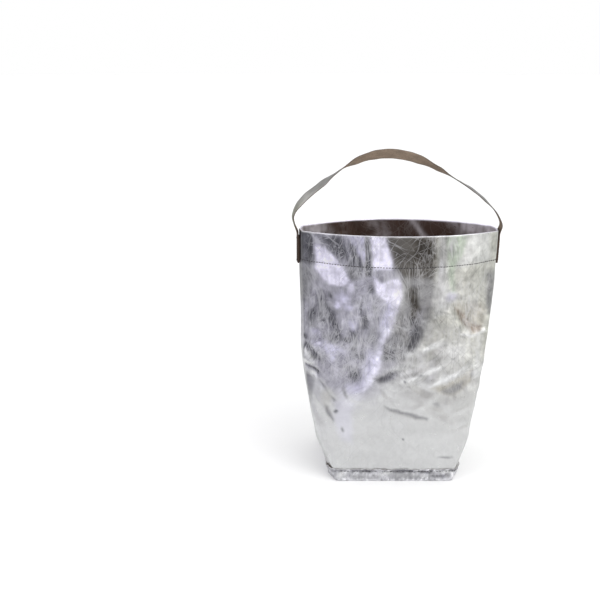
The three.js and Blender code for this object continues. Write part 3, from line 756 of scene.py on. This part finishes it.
def border_walls(rise):
    """Outer and inner face of the turned-up border, with its crinkles and its uneven top edge."""
    outer, inner = [ring_points(rise, np.full(BORDER_ROWS, out)) for out in (BORDER_GAP + PAPER, BORDER_GAP)]
    columns = outer.shape[1]
    crinkle = border_crinkle(columns, BORDER_ROWS, 5) * smooth(rise, 0.0, 3.0)[:, None]
    crinkle = np.maximum(crinkle + BORDER_CLEAR, -0.1)
    outward = outer - inner
    outward /= np.linalg.norm(outward, axis=-1, keepdims=True)
    around = np.arange(columns) * 1.0
    wave = sum(strong * wander(around, 0.0 * around, *kind) for strong, *kind in TOP_WAVES)
    crest = sum(strong for strong, *_ in TOP_WAVES)
    for wall in (outer, inner):
        wall += outward * crinkle[..., None]
        wall[:, :, 2] = rise[:, None] * (1.0 + TOP_DROP * (wave[None, :] - crest))
    return outer, inner


def base_rings(outer, inner):
    """The flat of the base, below and above, in rings from its middle, and its rounded lower edge."""
    ring = np.linspace(FIRST_RING, 1.0, BASE_RINGS)[:, None, None]
    under = outer[0:1] * ring * (1.0 - BASE_FOLD / BASE_REACH * ring ** 8)
    inside = inner[0:1] * ring
    under[..., 2] = 0.0
    inside[..., 2] = PAPER
    bend = np.radians(np.linspace(90.0, 0.0, 5))[:-1]
    turned = np.stack([lerp(under[-1], outer[0], np.cos(b)) for b in bend])
    turned[..., 2] = BASE_FOLD * (1.0 - np.sin(bend))[:, None]
    return under, inside, turned


def make_base():
    """The bottom sheet, with its border turned up round the wall."""
    rise = np.linspace(0.0, BORDER_TOP, BORDER_ROWS)
    outer, inner = border_walls(rise)
    under, inside, turned = base_rings(outer, inner)
    outer[0, :, 2] = BASE_FOLD
    inner[0, :, 2] = BASE_FOLD + 0.2
    face = np.concatenate([under[:-1], turned, outer])
    back = np.concatenate([inside[:-1], np.stack([inside[-1]] * len(turned)), inner])
    grid_u, grid_v = np.meshgrid(panel_columns(), np.concatenate([np.zeros(len(face) - BORDER_ROWS), rise]))
    tint = np.concatenate([paint_border(grid_u, grid_v, side) for side in ("front", "back")], 1)
    round_u = np.concatenate([grid_u, grid_u + BACK_BORDER], 1)
    paper = np.stack([round_u, np.tile(grid_v, 2), 0.0 * face[..., 0]], -1)
    flat = slice(0, len(under))
    paper[flat] = face[flat]
    tint[flat] = PALE
    face, back, paper, tint = [grid[:, ::-1] for grid in (face, back, paper, tint)]
    return sheet_piece("base_sheet", face, back, True, paper, tint)


# ---- Strap -----------------------------------------------------------------
STRAP_WIDTH = 10.0
STRAP_THICK = 0.9
TAIL_LAYER = (TAIL_HIGH[0] - TAIL_LOW[0]) / 2 - 0.03
OUTER_LAYER_X = TAIL_HIGH[0] - TAIL_LAYER / 2
INNER_LAYER_X = TAIL_LOW[0] + TAIL_LAYER / 2
# The strap's middle line in X and Z, from just above the left rim to just above the right one.
ARCH_ROUTE = [
    (-93.6, 236.5), (-94.4, 243.5), (-90.2, 252.3), (-82.3, 260.9),
    (-71.3, 269.9), (-59.8, 278.9), (-47.4, 287.4), (-32.8, 294.4), (-17.0, 297.9), (-1.0, 297.4),
    (16.0, 293.0), (33.0, 285.0), (50.0, 275.2), (65.0, 266.2), (77.3, 256.2), (86.0, 247.0),
    (90.4, 240.0), (92.3, 234.6),
]
# Twist: share of the arch, and degrees that the outer face turns to the front.
ARCH_TWIST = [
    (0.0, 0.0), (0.06, 6.0), (0.14, 24.0), (0.22, 20.0), (0.3, -8.0), (0.38, -44.0), (0.47, -60.0),
    (0.56, -54.0), (0.65, -24.0), (0.72, -2.0), (0.82, 10.0), (0.92, 3.0), (1.0, 0.0),
]


def tail_route(side):
    """Hidden layer down, round the fold at the bottom, and up the outer layer to the rim."""
    low, high = TAIL_LOW[2], TAIL_HIGH[2]
    centre = (OUTER_LAYER_X + INNER_LAYER_X) / 2
    radius = (OUTER_LAYER_X - INNER_LAYER_X) / 2
    route = [(INNER_LAYER_X, z) for z in np.linspace(high - 1.0, low + 1.2, 12)]
    bend = np.radians(np.linspace(180.0, 360.0, 9))[1:-1]
    route += [(centre + radius * math.cos(b), low + 1.0 + radius * math.sin(b)) for b in bend]
    route += [(OUTER_LAYER_X, z) for z in np.linspace(low + 1.2, high, 14)]
    route += [(OUTER_LAYER_X + 0.25, high + 3.0)]
    return [(side * x, z) for x, z in route]


def tail_setback(y):
    """How far the bag's side falls back from its outermost point, at y millimetres off the seam."""
    level = np.array([(TAIL_LOW[2] + TAIL_HIGH[2]) / 2])
    u = np.linspace(PANEL_EDGE, QUARTER_GIRTH - 12.0, 60)
    face = wall_points("front", u, level, np.zeros(1))[0]
    return np.interp(np.abs(y), -face[:, 1], face[0, 0] - face[:, 0])


def length_along(points):
    """Distance along a line of points, at each of them."""
    return np.concatenate([[0.0], np.cumsum(np.linalg.norm(np.diff(points, axis=0), axis=1))])


def smooth_route(points, step):
    """A Catmull-Rom line through points, resampled at an even step."""
    points = np.asarray(points, float)
    padded = np.concatenate([[2 * points[0] - points[1]], points, [2 * points[-1] - points[-2]]])
    fine = []
    for a, b, c, d in zip(padded[:-3], padded[1:-2], padded[2:-1], padded[3:]):
        for t in np.linspace(0.0, 1.0, 12, endpoint=False):
            bend = 2 * b + (c - a) * t + (2 * a - 5 * b + 4 * c - d) * t * t
            fine.append((bend + (3 * b - a - 3 * c + d) * t ** 3) / 2)
    fine = np.array(fine + [points[-1]])
    length = length_along(fine)
    at = np.linspace(0.0, length[-1], int(length[-1] / step) + 1)
    return np.stack([np.interp(at, length, fine[:, i]) for i in range(fine.shape[1])], 1), at


def twist_at(share):
    """Twist in radians at each share of the arch."""
    places, degrees = np.array(ARCH_TWIST).T
    turned = np.zeros_like(share)
    for low, high, a, b in zip(places[:-1], places[1:], degrees[:-1], degrees[1:]):
        inside = (share >= low) & (share <= high)
        turned[inside] = lerp(a, b, smooth(share[inside], low, high))
    return np.radians(turned)


def strap_tint(x, z, length, across):
    """Grey film, with a painted green-gold reflection by the left rim, and painted shade where the ends are
    sewn down.
    """
    grain = 0.5 * wander(length * 0.3, across * 5.0, 1.6, 91) + 0.5 * wander(length, across * 3.0, 9.0, 92)
    tint = np.array(STRAP_GREY) * (1.0 + 0.3 * grain)[..., None]
    # A painted green-gold reflection low on the left.
    tint = toned(tint, STRAP_GOLD_REFLECTION, 0.6 * (smooth(-z, -262.0, -240.0) * smooth(-x, 60.0, 80.0)))
    # Painted shade on the sewn ends, on the bag's sides.
    sewn = smooth(-z, -TAIL_HIGH[2] - 9.0, -TAIL_HIGH[2] - 2.0)
    return toned(tint, np.array(STRAP_SEWN_SHADE) * (1.0 + 0.5 * grain)[..., None], sewn)


def strap_line():
    """The strap's middle line in X and Z, sewn ends included, and each point's share of the arch."""
    left, right = tail_route(-1.0), tail_route(1.0)
    arch, arch_at = smooth_route([left[-2], left[-1], *ARCH_ROUTE, right[-1], right[-2]], 1.2)
    line = np.concatenate([left[:-2], arch, right[:-2][::-1]])
    share = np.concatenate([np.zeros(len(left) - 2), arch_at / arch_at[-1], np.ones(len(right) - 2)])
    return line, share


def strap_directions(line, share):
    """Two directions at each point of the line: off the strap's outer face, and across the strap."""
    tangent = np.gradient(line, axis=0)
    tangent /= np.linalg.norm(tangent, axis=1, keepdims=True)
    twist = twist_at(share)
    outward = np.stack([-tangent[:, 1], np.zeros(len(line)), tangent[:, 0]], 1)
    backward = np.tile([0.0, 1.0, 0.0], (len(line), 1))
    cos, sin = np.cos(twist)[:, None], np.sin(twist)[:, None]
    return outward * cos - backward * sin, backward * cos + outward * sin


def make_strap():
    """The whole strip: slightly uneven, rippled and cupped on the arch, flat and double where sewn."""
    line, share = strap_line()
    normal, across = strap_directions(line, share)
    length = length_along(line)
    centre = np.stack([line[:, 0], np.zeros(len(line)), line[:, 1]], 1)
    places = np.linspace(-1.0, 1.0, 9)
    width = STRAP_WIDTH / 2 * (1.0 + 0.012 * np.sin(length * 0.21) + 0.01 * np.sin(length * 0.63 + 2.0))
    on_arch = smooth(centre[:, 2], TAIL_HIGH[2], TAIL_HIGH[2] + 20.0)
    ripple = 0.16 * np.sin(length * 0.37)[:, None] * np.sin(places * 2.1 + length[:, None] * 0.06)
    cup = -0.22 * places[None, :] ** 2
    lift = (ripple + cup) * on_arch[:, None]
    middle = centre[:, None, :] + across[:, None, :] * (width[:, None] * places)[..., None]
    middle = middle + normal[:, None, :] * lift[..., None]
    wrapped = tail_setback(middle[..., 1]) * (1.0 - on_arch)[:, None]
    middle[..., 0] -= np.sign(middle[..., 0]) * wrapped
    edge = 1.0 - 0.25 * on_arch[:, None] * np.abs(places)[None, :] ** 6
    half = normal[:, None, :] * (lerp(TAIL_LAYER, STRAP_THICK, on_arch)[:, None] / 2 * edge)[..., None]
    grid_length = np.repeat(length[:, None], len(places), 1)
    grain = np.full_like(grid_length, GRAIN["strap"])
    paper = np.stack([grid_length, width[:, None] * places, grain], -1)
    tint = strap_tint(middle[..., 0], middle[..., 2], grid_length, places[None, :])
    strap = sheet_piece("strap", middle + half, middle - half, paper=paper, tint=tint)
    for face in strap.data.polygons:
        if face.material_index == FACE and face.center.z / METRES < TAIL_HIGH[2]:
            face.material_index = BACK
    return strap


# ---- Stitching -------------------------------------------------------------
THREAD_RADIUS = 0.34
STITCH_SLANT = 0.12          # how much higher a wall stitch ends than it starts
TAIL_PITCH = 2.4             # stitches of the sewn box on the strap's ends
SEAM_PITCH = 2.8             # stitches of the side seams
WORD = {-1.0: "left", 1.0: "right"}


def stitch_mesh(name, starts, ends, normals, rise=0.2):
    """One thread: each stitch is a low hump from a needle hole to the next."""
    sides, rings = 8, 7
    around = np.linspace(0.0, 2 * math.pi, sides, endpoint=False)
    points, faces = [], []
    for start, end, normal in zip(starts, ends, normals):
        run = end - start
        side = np.cross(normal, run)
        side /= np.linalg.norm(side)
        first = len(points)
        for t in np.linspace(0.0, 1.0, rings):
            lift = rise * (1.0 - (2 * t - 1.0) ** 4) - 0.12
            radius = THREAD_RADIUS * (0.35 + 0.65 * math.sqrt(max(0.0, 1.0 - (2 * t - 1.0) ** 6)))
            centre = start + run * t + normal * lift
            for a in around:
                points.append(centre + side * radius * math.cos(a) + normal * radius * math.sin(a))
        faces += grid_faces(rings, sides, start=first, closed=True)
        faces.append([first + i for i in reversed(range(sides))])
        faces.append([first + (rings - 1) * sides + i for i in range(sides)])
    return put_mesh(name, points, faces)


def wall_stitches(name, side, level, margin, pitch, length, off):
    """A row of stitches along the wall at one height."""
    reach = QUARTER_GIRTH - margin
    count = int(2 * reach / pitch)
    middles = np.linspace(reach - pitch / 2, -reach + pitch / 2, count)

    def row(shift, out):
        height = np.array([level + STITCH_SLANT * shift])
        return wall_points(side, middles + shift * length, height, [out])[0]

    return stitch_mesh(name, row(-0.5, off), row(0.5, off), row(0.0, off + 1.0) - row(0.0, off))


def make_tail_stitches(side):
    """The sewn box on the strap's end."""
    low, high = TAIL_LOW[2] + 2.0, TAIL_HIGH[2] - 2.4
    half = STRAP_WIDTH / 2 - 1.6
    corners = [(-half, low), (half, low), (half, high), (-half, high), (-half, low)]
    starts, ends = [], []
    for (y0, z0), (y1, z1) in zip(corners[:-1], corners[1:]):
        count = max(2, round(math.hypot(y1 - y0, z1 - z0) / TAIL_PITCH))
        for i in range(count):
            a, b = (i + 0.07) / count, (i + 0.93) / count
            for found, share in ((starts, a), (ends, b)):
                y = lerp(y0, y1, share)
                found.append((side * (TAIL_HIGH[0] - tail_setback(y)), y, lerp(z0, z1, share)))
    normals = [np.array([side, 0.0, 0.0])] * len(starts)
    return stitch_mesh("tail_stitches_" + WORD[side], np.array(starts), np.array(ends), normals)


SEAM_ALLOWANCE = 7.0


def seam_fold_x(side, z):
    """X of the inner face of the side fold at each height."""
    u = np.array([side * PANEL_EDGE])
    return wall_points("front", u, z, np.full(len(z), -PAPER))[:, 0, 0]


def make_seam_allowance(side):
    """The two panels' edges, pressed together inside the side fold."""
    z = np.linspace(FOOT + 1.0, RIM - HEM_DEPTH - 1.0, 60)
    fold = seam_fold_x(side, z)
    depth = np.linspace(0.15, SEAM_ALLOWANCE, 7)
    lean = 1.6 * np.sin(z * 0.035 + side)[:, None] * (depth / SEAM_ALLOWANCE)[None, :] ** 2
    x = fold[:, None] - side * depth[None, :]
    centre = np.stack([x, lean, np.repeat(z[:, None], len(depth), 1)], -1)
    half = np.array([0.0, PAPER + 0.02, 0.0])
    sheets = [centre - half, centre + half]
    if side > 0:
        sheets.reverse()
    return sheet_piece("seam_allowance_" + WORD[side], *sheets, paper=centre)


def make_seam_stitches(side):
    """The seam's thread, on both faces of the allowance."""
    middles = np.arange(FOOT + 6.0, RIM - HEM_DEPTH - 4.0, SEAM_PITCH)
    starts, ends, normals = [], [], []
    for face in (-1.0, 1.0):
        for z in middles:
            x = seam_fold_x(side, np.array([z]))[0] - side * 1.6
            starts.append((x, face * (PAPER + 0.05), z - 1.1))
            ends.append((x, face * (PAPER + 0.05), z + 1.1))
            normals.append(np.array([0.0, face, 0.0]))
    return stitch_mesh("seam_stitches_" + WORD[side], np.array(starts), np.array(ends), normals)


# ---- Materials -------------------------------------------------------------
def new_material(name):
    material = bpy.data.materials.new(name)
    material.use_nodes = True
    tree = material.node_tree
    return material, tree, tree.nodes["Principled BSDF"]


def connect(tree, socket, value):
    """Sets a socket to a value, or links it to an output."""
    if isinstance(value, bpy.types.NodeSocket):
        tree.links.new(value, socket)
    else:
        socket.default_value = value


def add(tree, kind, sockets=None, **settings):
    """A shader node with its settings, and its sockets set or linked."""
    node = tree.nodes.new("ShaderNode" + kind)
    for key, value in settings.items():
        setattr(node, key, value)
    for key, value in (sockets or {}).items():
        connect(tree, node.inputs[key], value)
    return node


def feed(tree, shader, **values):
    """Sets or links the shader's sockets, whose names are written with _ for a space."""
    for key, value in values.items():
        connect(tree, shader.inputs[key.replace("_", " ")], value)


def stored(tree, name):
    """A vector or colour stored on the mesh: its place on the flat paper, or its tint."""
    return add(tree, "Attribute", attribute_name=name).outputs["Color" if name == "tint" else "Vector"]


def paper_place(tree):
    """The place on the flat paper, in millimetres."""
    return stored(tree, "paper")


def drawn_out(tree, place, stretch, turn):
    """A place, drawn out along one direction."""
    sockets = {"Vector": place, "Rotation": (0.0, 0.0, turn), "Scale": (stretch, 1.0, 1.0)}
    return add(tree, "Mapping", sockets, vector_type="TEXTURE").outputs["Vector"]


def scaled(tree, vector, factor):
    return add(tree, "VectorMath", {0: vector, "Scale": factor}, operation="SCALE").outputs[0]


def shifted(tree, vector, shift):
    return add(tree, "VectorMath", {0: vector, 1: shift}, operation="ADD").outputs[0]


def noise(tree, place, scale, detail=2.0, roughness=0.5, distortion=0.0):
    sockets = {"Vector": place, "Scale": scale, "Detail": detail}
    sockets |= {"Roughness": roughness, "Distortion": distortion}
    return add(tree, "TexNoise", sockets).outputs["Fac"]


def math_of(tree, operation, *values):
    return add(tree, "Math", dict(enumerate(values)), operation=operation).outputs[0]


def ramp(tree, value, low, high, to_low=0.0, to_high=1.0):
    sockets = {"Value": value, "From Min": low, "From Max": high, "To Min": to_low, "To Max": to_high}
    return add(tree, "MapRange", sockets, interpolation_type="SMOOTHSTEP").outputs["Result"]


def blend_colour(tree, share, first, second, kind="MIX"):
    sockets = {0: share}
    for index, value in ((6, first), (7, second)):
        sockets[index] = value if isinstance(value, bpy.types.NodeSocket) else (*value, 1.0)
    return add(tree, "Mix", sockets, data_type="RGBA", blend_type=kind).outputs[2]


def wavering(tree, scale, detail, reach):
    """The place on the paper, pushed about by a coloured noise."""
    place = paper_place(tree)
    push = add(tree, "TexNoise", {"Vector": place, "Scale": scale, "Detail": detail}).outputs["Color"]
    return shifted(tree, place, scaled(tree, push, reach))


def hairlines(tree, turn, fineness, width, stretch):
    """Fine, gently curving marks along one direction, 1 on a mark and 0 beside it."""
    swayed = wavering(tree, 0.03, 1.0, 14.0)
    streak = noise(tree, drawn_out(tree, swayed, stretch, turn), fineness, 1.0, 0.3, 0.0)
    off = math_of(tree, "ABSOLUTE", math_of(tree, "SUBTRACT", streak, 0.5))
    return ramp(tree, off, 0.0, width, 1.0, 0.0)


def masked(tree, value, scale, low, high):
    """A value kept only in cloudy patches of the paper."""
    patch = ramp(tree, noise(tree, paper_place(tree), scale, 2.0, 0.5, 0.4), low, high)
    return math_of(tree, "MULTIPLY", value, patch)


def largest(tree, values):
    while len(values) > 1:
        values = [math_of(tree, "MAXIMUM", values[0], values[1])] + values[2:]
    return values[0]


def height_to_bump(tree, height, depth_mm):
    sockets = {"Height": height, "Strength": 1.0, "Distance": depth_mm * METRES}
    return add(tree, "Bump", sockets).outputs["Normal"]


def facet_height(tree, size, seed):
    """Small flat facets of crushed paper, meeting in sharp creases."""
    bent = shifted(tree, wavering(tree, 0.7 / size, 2.0, 0.9 * size), (seed, seed, seed))
    return add(tree, "TexVoronoi", {"Vector": bent, "Scale": 1.0 / size}).outputs["Distance"]


# Sets of hairlines: turn and fineness of each line, then their width and stretch, and the scale and
# the two limits of the patches that they show in.
# STEEP_MARKS and SLANTED_MARKS are painted highlights along fine creases, and DARK_MARKS is painted shade in
# them.
STEEP_MARKS = ([(1.47, 0.34), (1.66, 0.26), (1.28, 0.2), (1.85, 0.16)], 0.03, 70.0, 0.024, 0.36, 0.56)
SLANTED_MARKS = ([(0.45, 0.18), (2.6, 0.18), (1.05, 0.14)], 0.018, 45.0, 0.03, 0.42, 0.6)
DARK_MARKS = ([(1.55, 0.23), (0.8, 0.15), (2.3, 0.17)], 0.03, 50.0, 0.027, 0.38, 0.58)
CREASE_HIGHLIGHT_GREY = (0.64, 0.64, 0.66)


def mark_set(tree, marks):
    lines, width, stretch, *patch = marks
    return [masked(tree, hairlines(tree, *line, width, stretch), *patch) for line in lines]


def silver_film(name, rough, depth_mm):
    """Metallic film on paper: its stored tint, clouded at random, painted highlights and shade along fine
    hairline creases, crushed facets and paper grain.
    """
    material, tree, shader = new_material(name)
    place = paper_place(tree)
    tint = stored(tree, "tint")
    up = add(tree, "SeparateXYZ", {0: place}).outputs["Y"]
    # Crushed and marked high on the panel, less low down, in the turned hem and at the side seams.
    crushed = ramp(tree, up, 70.0, 125.0, 0.25, 1.0)
    crushed = math_of(tree, "MULTIPLY", crushed, ramp(tree, up, RIM, RIM + 2.0, 1.0, 0.3))
    from_middle = math_of(tree, "ABSOLUTE", add(tree, "SeparateXYZ", {0: place}).outputs["X"])
    marked = math_of(tree, "MULTIPLY", crushed, ramp(tree, from_middle, 74.0, 94.0, 1.0, 0.3))
    pale = mark_set(tree, STEEP_MARKS) + mark_set(tree, SLANTED_MARKS)
    marks = math_of(tree, "MULTIPLY", largest(tree, pale), marked)
    dark = math_of(tree, "MULTIPLY", largest(tree, mark_set(tree, DARK_MARKS)), marked)
    cloud = noise(tree, place, 0.2, 4.0, 0.62, 0.8)
    spread = math_of(tree, "MULTIPLY", math_of(tree, "SUBTRACT", cloud, 0.5), crushed)
    shade = math_of(tree, "MULTIPLY_ADD", spread, 0.7, 1.0)
    tone = scaled(tree, tint, shade)
    # Painted shade in the fine creases, then painted highlights along them.
    tone = blend_colour(tree, math_of(tree, "MULTIPLY", dark, 0.55), tone, scaled(tree, tone, 0.55))
    tone = blend_colour(tree, math_of(tree, "MULTIPLY", marks, 0.5), tone, CREASE_HIGHLIGHT_GREY)
    roughness = ramp(tree, cloud, 0.3, 0.75, rough + 0.07, rough - 0.05)
    roughness = math_of(tree, "MULTIPLY_ADD", marks, 0.1, roughness)
    small, large = facet_height(tree, 4.0, 31.0), facet_height(tree, 9.0, 7.0)
    height = math_of(tree, "MULTIPLY", math_of(tree, "MULTIPLY_ADD", small, 0.45, large), crushed)
    height = math_of(tree, "MULTIPLY_ADD", noise(tree, place, 1.2, 2.0, 0.5), 0.03, height)
    height = math_of(tree, "MULTIPLY_ADD", marks, 0.05, height)
    metal = ramp(tree, up, RIM + 0.5, RIM + 2.0, 0.94, 0.5)   # the hem's inside is rubbed dull
    feed(tree, shader, Base_Color=tone, Metallic=metal, Roughness=roughness)
    feed(tree, shader, Normal=height_to_bump(tree, height, depth_mm))
    return material


def kraft_paper(name, dark, light, depth_mm=0.12, shaded=False):
    """The paper's uncoated brown back: soft fibres and faint crease lines. shaded follows the tint."""
    material, tree, shader = new_material(name)
    place = paper_place(tree)
    fibre = noise(tree, drawn_out(tree, place, 3.0, 0.4), 1.6, 5.0, 0.7, 0.6)
    cloud = noise(tree, place, 0.06, 3.0, 0.6)
    lines = largest(tree, [hairlines(tree, turn, 0.25, 0.02, 7.0) for turn in (0.6, 1.5, 2.3)])
    tone = blend_colour(tree, ramp(tree, fibre, 0.3, 0.7), dark, light)
    tone = blend_colour(tree, ramp(tree, cloud, 0.35, 0.7, 0.0, 0.35), tone, dark)
    tone = blend_colour(tree, math_of(tree, "MULTIPLY", lines, 0.3), tone, light)
    if shaded:
        tone = blend_colour(tree, 1.0, tone, stored(tree, "tint"), "MULTIPLY")
    height = math_of(tree, "MULTIPLY_ADD", lines, 0.5, fibre)
    feed(tree, shader, Base_Color=tone, Roughness=ramp(tree, fibre, 0.2, 0.8, 0.72, 0.88))
    feed(tree, shader, Normal=height_to_bump(tree, height, depth_mm))
    return material


def cut_edge(name, dark, light):
    """A cut edge of the paper, with its layers showing."""
    material, tree, shader = new_material(name)
    layers = noise(tree, paper_place(tree), 3.0, 3.0, 0.6)
    tone = blend_colour(tree, ramp(tree, layers, 0.35, 0.65), dark, light)
    feed(tree, shader, Base_Color=tone, Roughness=0.85)
    feed(tree, shader, Normal=height_to_bump(tree, layers, 0.08))
    return material


def sewing_thread(name, dark, light):
    """Twisted thread: fine slanting bands."""
    material, tree, shader = new_material(name)
    place = add(tree, "TexCoord").outputs["Object"]
    sockets = {"Vector": place, "Scale": 900.0, "Distortion": 0.6}
    bands = add(tree, "TexWave", sockets, bands_direction="DIAGONAL").outputs["Fac"]
    feed(tree, shader, Base_Color=blend_colour(tree, bands, dark, light), Roughness=0.7)
    feed(tree, shader, Normal=height_to_bump(tree, bands, 0.05))
    return material


def plain(name, colour, roughness):
    material, tree, shader = new_material(name)
    feed(tree, shader, Base_Color=(*colour, 1.0), Roughness=roughness)
    return material


def dress(piece, *materials):
    for material in materials:
        piece.data.materials.append(material)


# ---- Studio ----------------------------------------------------------------
def make_disc(name, radius, z):
    around = np.linspace(0.0, 2 * math.pi, 96, endpoint=False)
    points = [(radius * math.cos(a), radius * math.sin(a), z) for a in around]
    return put_mesh(name, points, [list(range(len(points)))])


def make_floor():
    """A pale table top that the bag mirrors, inside a wide pale floor that it doesn't mirror."""
    white = plain("floor_white", (0.9, 0.9, 0.9), 0.6)
    table = make_disc("table_top", 360.0, -0.05)
    floor = make_disc("floor", 12000.0, -0.3)
    floor.visible_glossy = False
    for piece in (table, floor):
        dress(piece, white)


def make_light(name, kind, place, aim, power, **settings):
    """A light at a place, turned to an aim, both in metres."""
    data = bpy.data.lights.new(name, kind)
    data.energy = power
    for key, value in settings.items():
        setattr(data, key, value)
    light = bpy.data.objects.new(name, data)
    bpy.context.scene.collection.objects.link(light)
    light.location = place
    light.rotation_euler = (Vector(aim) - Vector(place)).to_track_quat("-Z", "Y").to_euler()


# The room round the table, from behind the bag round by its right, its front and its left.
ROOM_BAND = [
    (0.0, (0.8, 0.8, 0.82)), (0.08, (0.4, 0.4, 0.42)), (0.17, (1.0, 1.0, 0.97)),
    (0.25, (0.95, 0.97, 0.9)), (0.32, (0.55, 0.55, 0.52)), (0.37, (1.0, 0.99, 0.95)),
    (0.43, (0.8, 0.79, 0.77)), (0.49, (0.5, 0.48, 0.47)), (0.53, (1.0, 0.99, 1.05)),
    (0.58, (1.1, 1.09, 1.2)), (0.63, (0.5, 0.49, 0.54)), (0.7, (1.0, 0.99, 1.07)),
    (0.78, (0.4, 0.4, 0.42)), (0.87, (0.95, 0.95, 0.97)), (0.94, (0.5, 0.5, 0.5)), (1.0, (0.8, 0.8, 0.82)),
]


def make_world():
    """White where the camera looks past the table, and a room of soft light and dark elsewhere."""
    world = bpy.data.worlds.new("studio")
    bpy.context.scene.world = world
    world.use_nodes = True
    tree = world.node_tree
    direction = add(tree, "TexCoord").outputs["Generated"]
    axes = add(tree, "SeparateXYZ", {0: direction}).outputs
    angle = math_of(tree, "ARCTAN2", axes["X"], axes["Y"])
    wobble = noise(tree, direction, 3.0, 3.0, 0.6)
    turn = math_of(tree, "MULTIPLY_ADD", angle, 0.5 / math.pi, 0.0)   # -0.5 to 0.5 round the room
    turn = math_of(tree, "WRAP", math_of(tree, "MULTIPLY_ADD", wobble, 0.06, turn), 1.0, 0.0)
    band = add(tree, "ValToRGB", {"Fac": turn})
    stops = band.color_ramp.elements
    while len(stops) > 1:
        stops.remove(stops[-1])
    stops[0].position, stops[0].color = ROOM_BAND[0][0], (*ROOM_BAND[0][1], 1.0)
    for place, colour in ROOM_BAND[1:]:
        stops.new(place).color = (*colour, 1.0)
    clutter = ramp(tree, noise(tree, direction, 4.5, 2.0, 0.55), 0.38, 0.62, 0.45, 1.65)
    overhead = ramp(tree, axes["Z"], 0.12, 0.55)
    room = blend_colour(tree, overhead, band.outputs["Color"], (1.0, 1.0, 1.0))
    room = scaled(tree, room, clutter)
    camera_ray = add(tree, "LightPath").outputs["Is Camera Ray"]
    shown = blend_colour(tree, camera_ray, room, (1.0, 1.0, 1.0))
    background = tree.nodes["Background"]
    tree.links.new(shown, background.inputs["Color"])
    background.inputs["Strength"].default_value = 1.0


CAMERA_PLACE = (-0.088, -0.657, 0.384)   # metres
CAMERA_DIP = 18.5            # degrees below level


def make_camera():
    data = bpy.data.cameras.new("camera")
    data.lens, data.sensor_width = 45.0, 36.0
    camera = bpy.data.objects.new("camera", data)
    bpy.context.scene.collection.objects.link(camera)
    camera.location = CAMERA_PLACE
    camera.rotation_euler = (math.radians(90.0 - CAMERA_DIP), 0.0, 0.0)
    bpy.context.scene.camera = camera


# Windows of the studio: name, place in metres, power, width in metres, and colour.
WINDOWS = [
    ("left_window", (-0.9, -0.5, 0.75), 1.6, 0.35, (0.96, 0.94, 1.0)),
    ("right_window", (0.9, -0.8, 0.5), 1.4, 0.3, (1.0, 1.0, 0.97)),
]


# ---- Assembly --------------------------------------------------------------
def make_studio():
    make_camera()
    make_floor()
    make_world()
    make_light("key", "SUN", (0.9, -0.7, 1.5), (0.0, 0.0, 0.0), 0.75, angle=math.radians(50.0))
    for name, place, power, width, colour in WINDOWS:
        make_light(name, "AREA", place, (0.0, 0.0, 0.12), power,
                   shape="RECTANGLE", size=width, size_y=0.8, color=colour)
    bpy.context.scene.view_settings.view_transform = "Standard"


def make_sheets():
    """The paper pieces: each sheet's face, back and cut edge have their own finish."""
    silver = silver_film("silver_film", 0.31, 0.09)
    base_silver = silver_film("base_film", 0.27, 0.16)
    strap_silver = silver_film("strap_film", 0.36, 0.12)
    kraft = kraft_paper("kraft_back", (0.13, 0.08, 0.055), (0.25, 0.16, 0.11))
    # The strap's kraft back is multiplied by the strap's tint, painted shade on the sewn ends included.
    strap_kraft = kraft_paper("strap_back", (0.62, 0.45, 0.33), (1.0, 0.8, 0.62), 0.06, shaded=True)
    pale_edge = cut_edge("pale_edge", (0.42, 0.36, 0.31), (0.72, 0.68, 0.64))
    silver_edge = cut_edge("silver_edge", (0.3, 0.29, 0.285), (0.66, 0.65, 0.65))
    dark_edge = cut_edge("dark_edge", (0.035, 0.021, 0.015), (0.085, 0.05, 0.032))
    for side in ("front", "back"):
        panel = make_panel(side)
        dress(panel, silver, kraft, pale_edge)
        stand_for(panel, side + "_panel")
    base = make_base()
    dress(base, base_silver, kraft, silver_edge)
    stand_for(base, "base_panel")
    for side in (-1.0, 1.0):
        allowance = make_seam_allowance(side)
        dress(allowance, kraft, kraft, kraft)
        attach(allowance, "bag")
    strap = make_strap()
    dress(strap, strap_silver, strap_kraft, dark_edge)
    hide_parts("handle_strap", "strap_tail_left", "strap_tail_right")
    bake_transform(strap)


def stand_for(piece, node):
    """A piece of the bag's body takes the place of a CAD node."""
    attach(piece, "bag")
    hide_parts(node)


def make_threads():
    dark = sewing_thread("thread", (0.012, 0.011, 0.013), (0.045, 0.04, 0.045))
    rows = []
    for side in ("front", "back"):
        hem = wall_stitches("hem_stitches_" + side, side, HEM_STITCH_Z, 7.0, 2.5, 2.0, 0.0)
        rows.append((hem, "hem_stitching_" + side))
        off = BORDER_GAP + PAPER
        base = wall_stitches("base_stitches_" + side, side, BASE_STITCH_Z, 1.5, 3.0, 2.4, off)
        rows.append((base, "base_seam_stitching"))
    for side, word in WORD.items():
        rows.append((make_tail_stitches(side), "tail_stitching_" + word))
        rows.append((make_seam_stitches(side), "side_seam_stitching_" + word))
    for piece, node in rows:
        dress(piece, dark)
        stand_for(piece, node)


make_studio()
make_sheets()
make_threads()
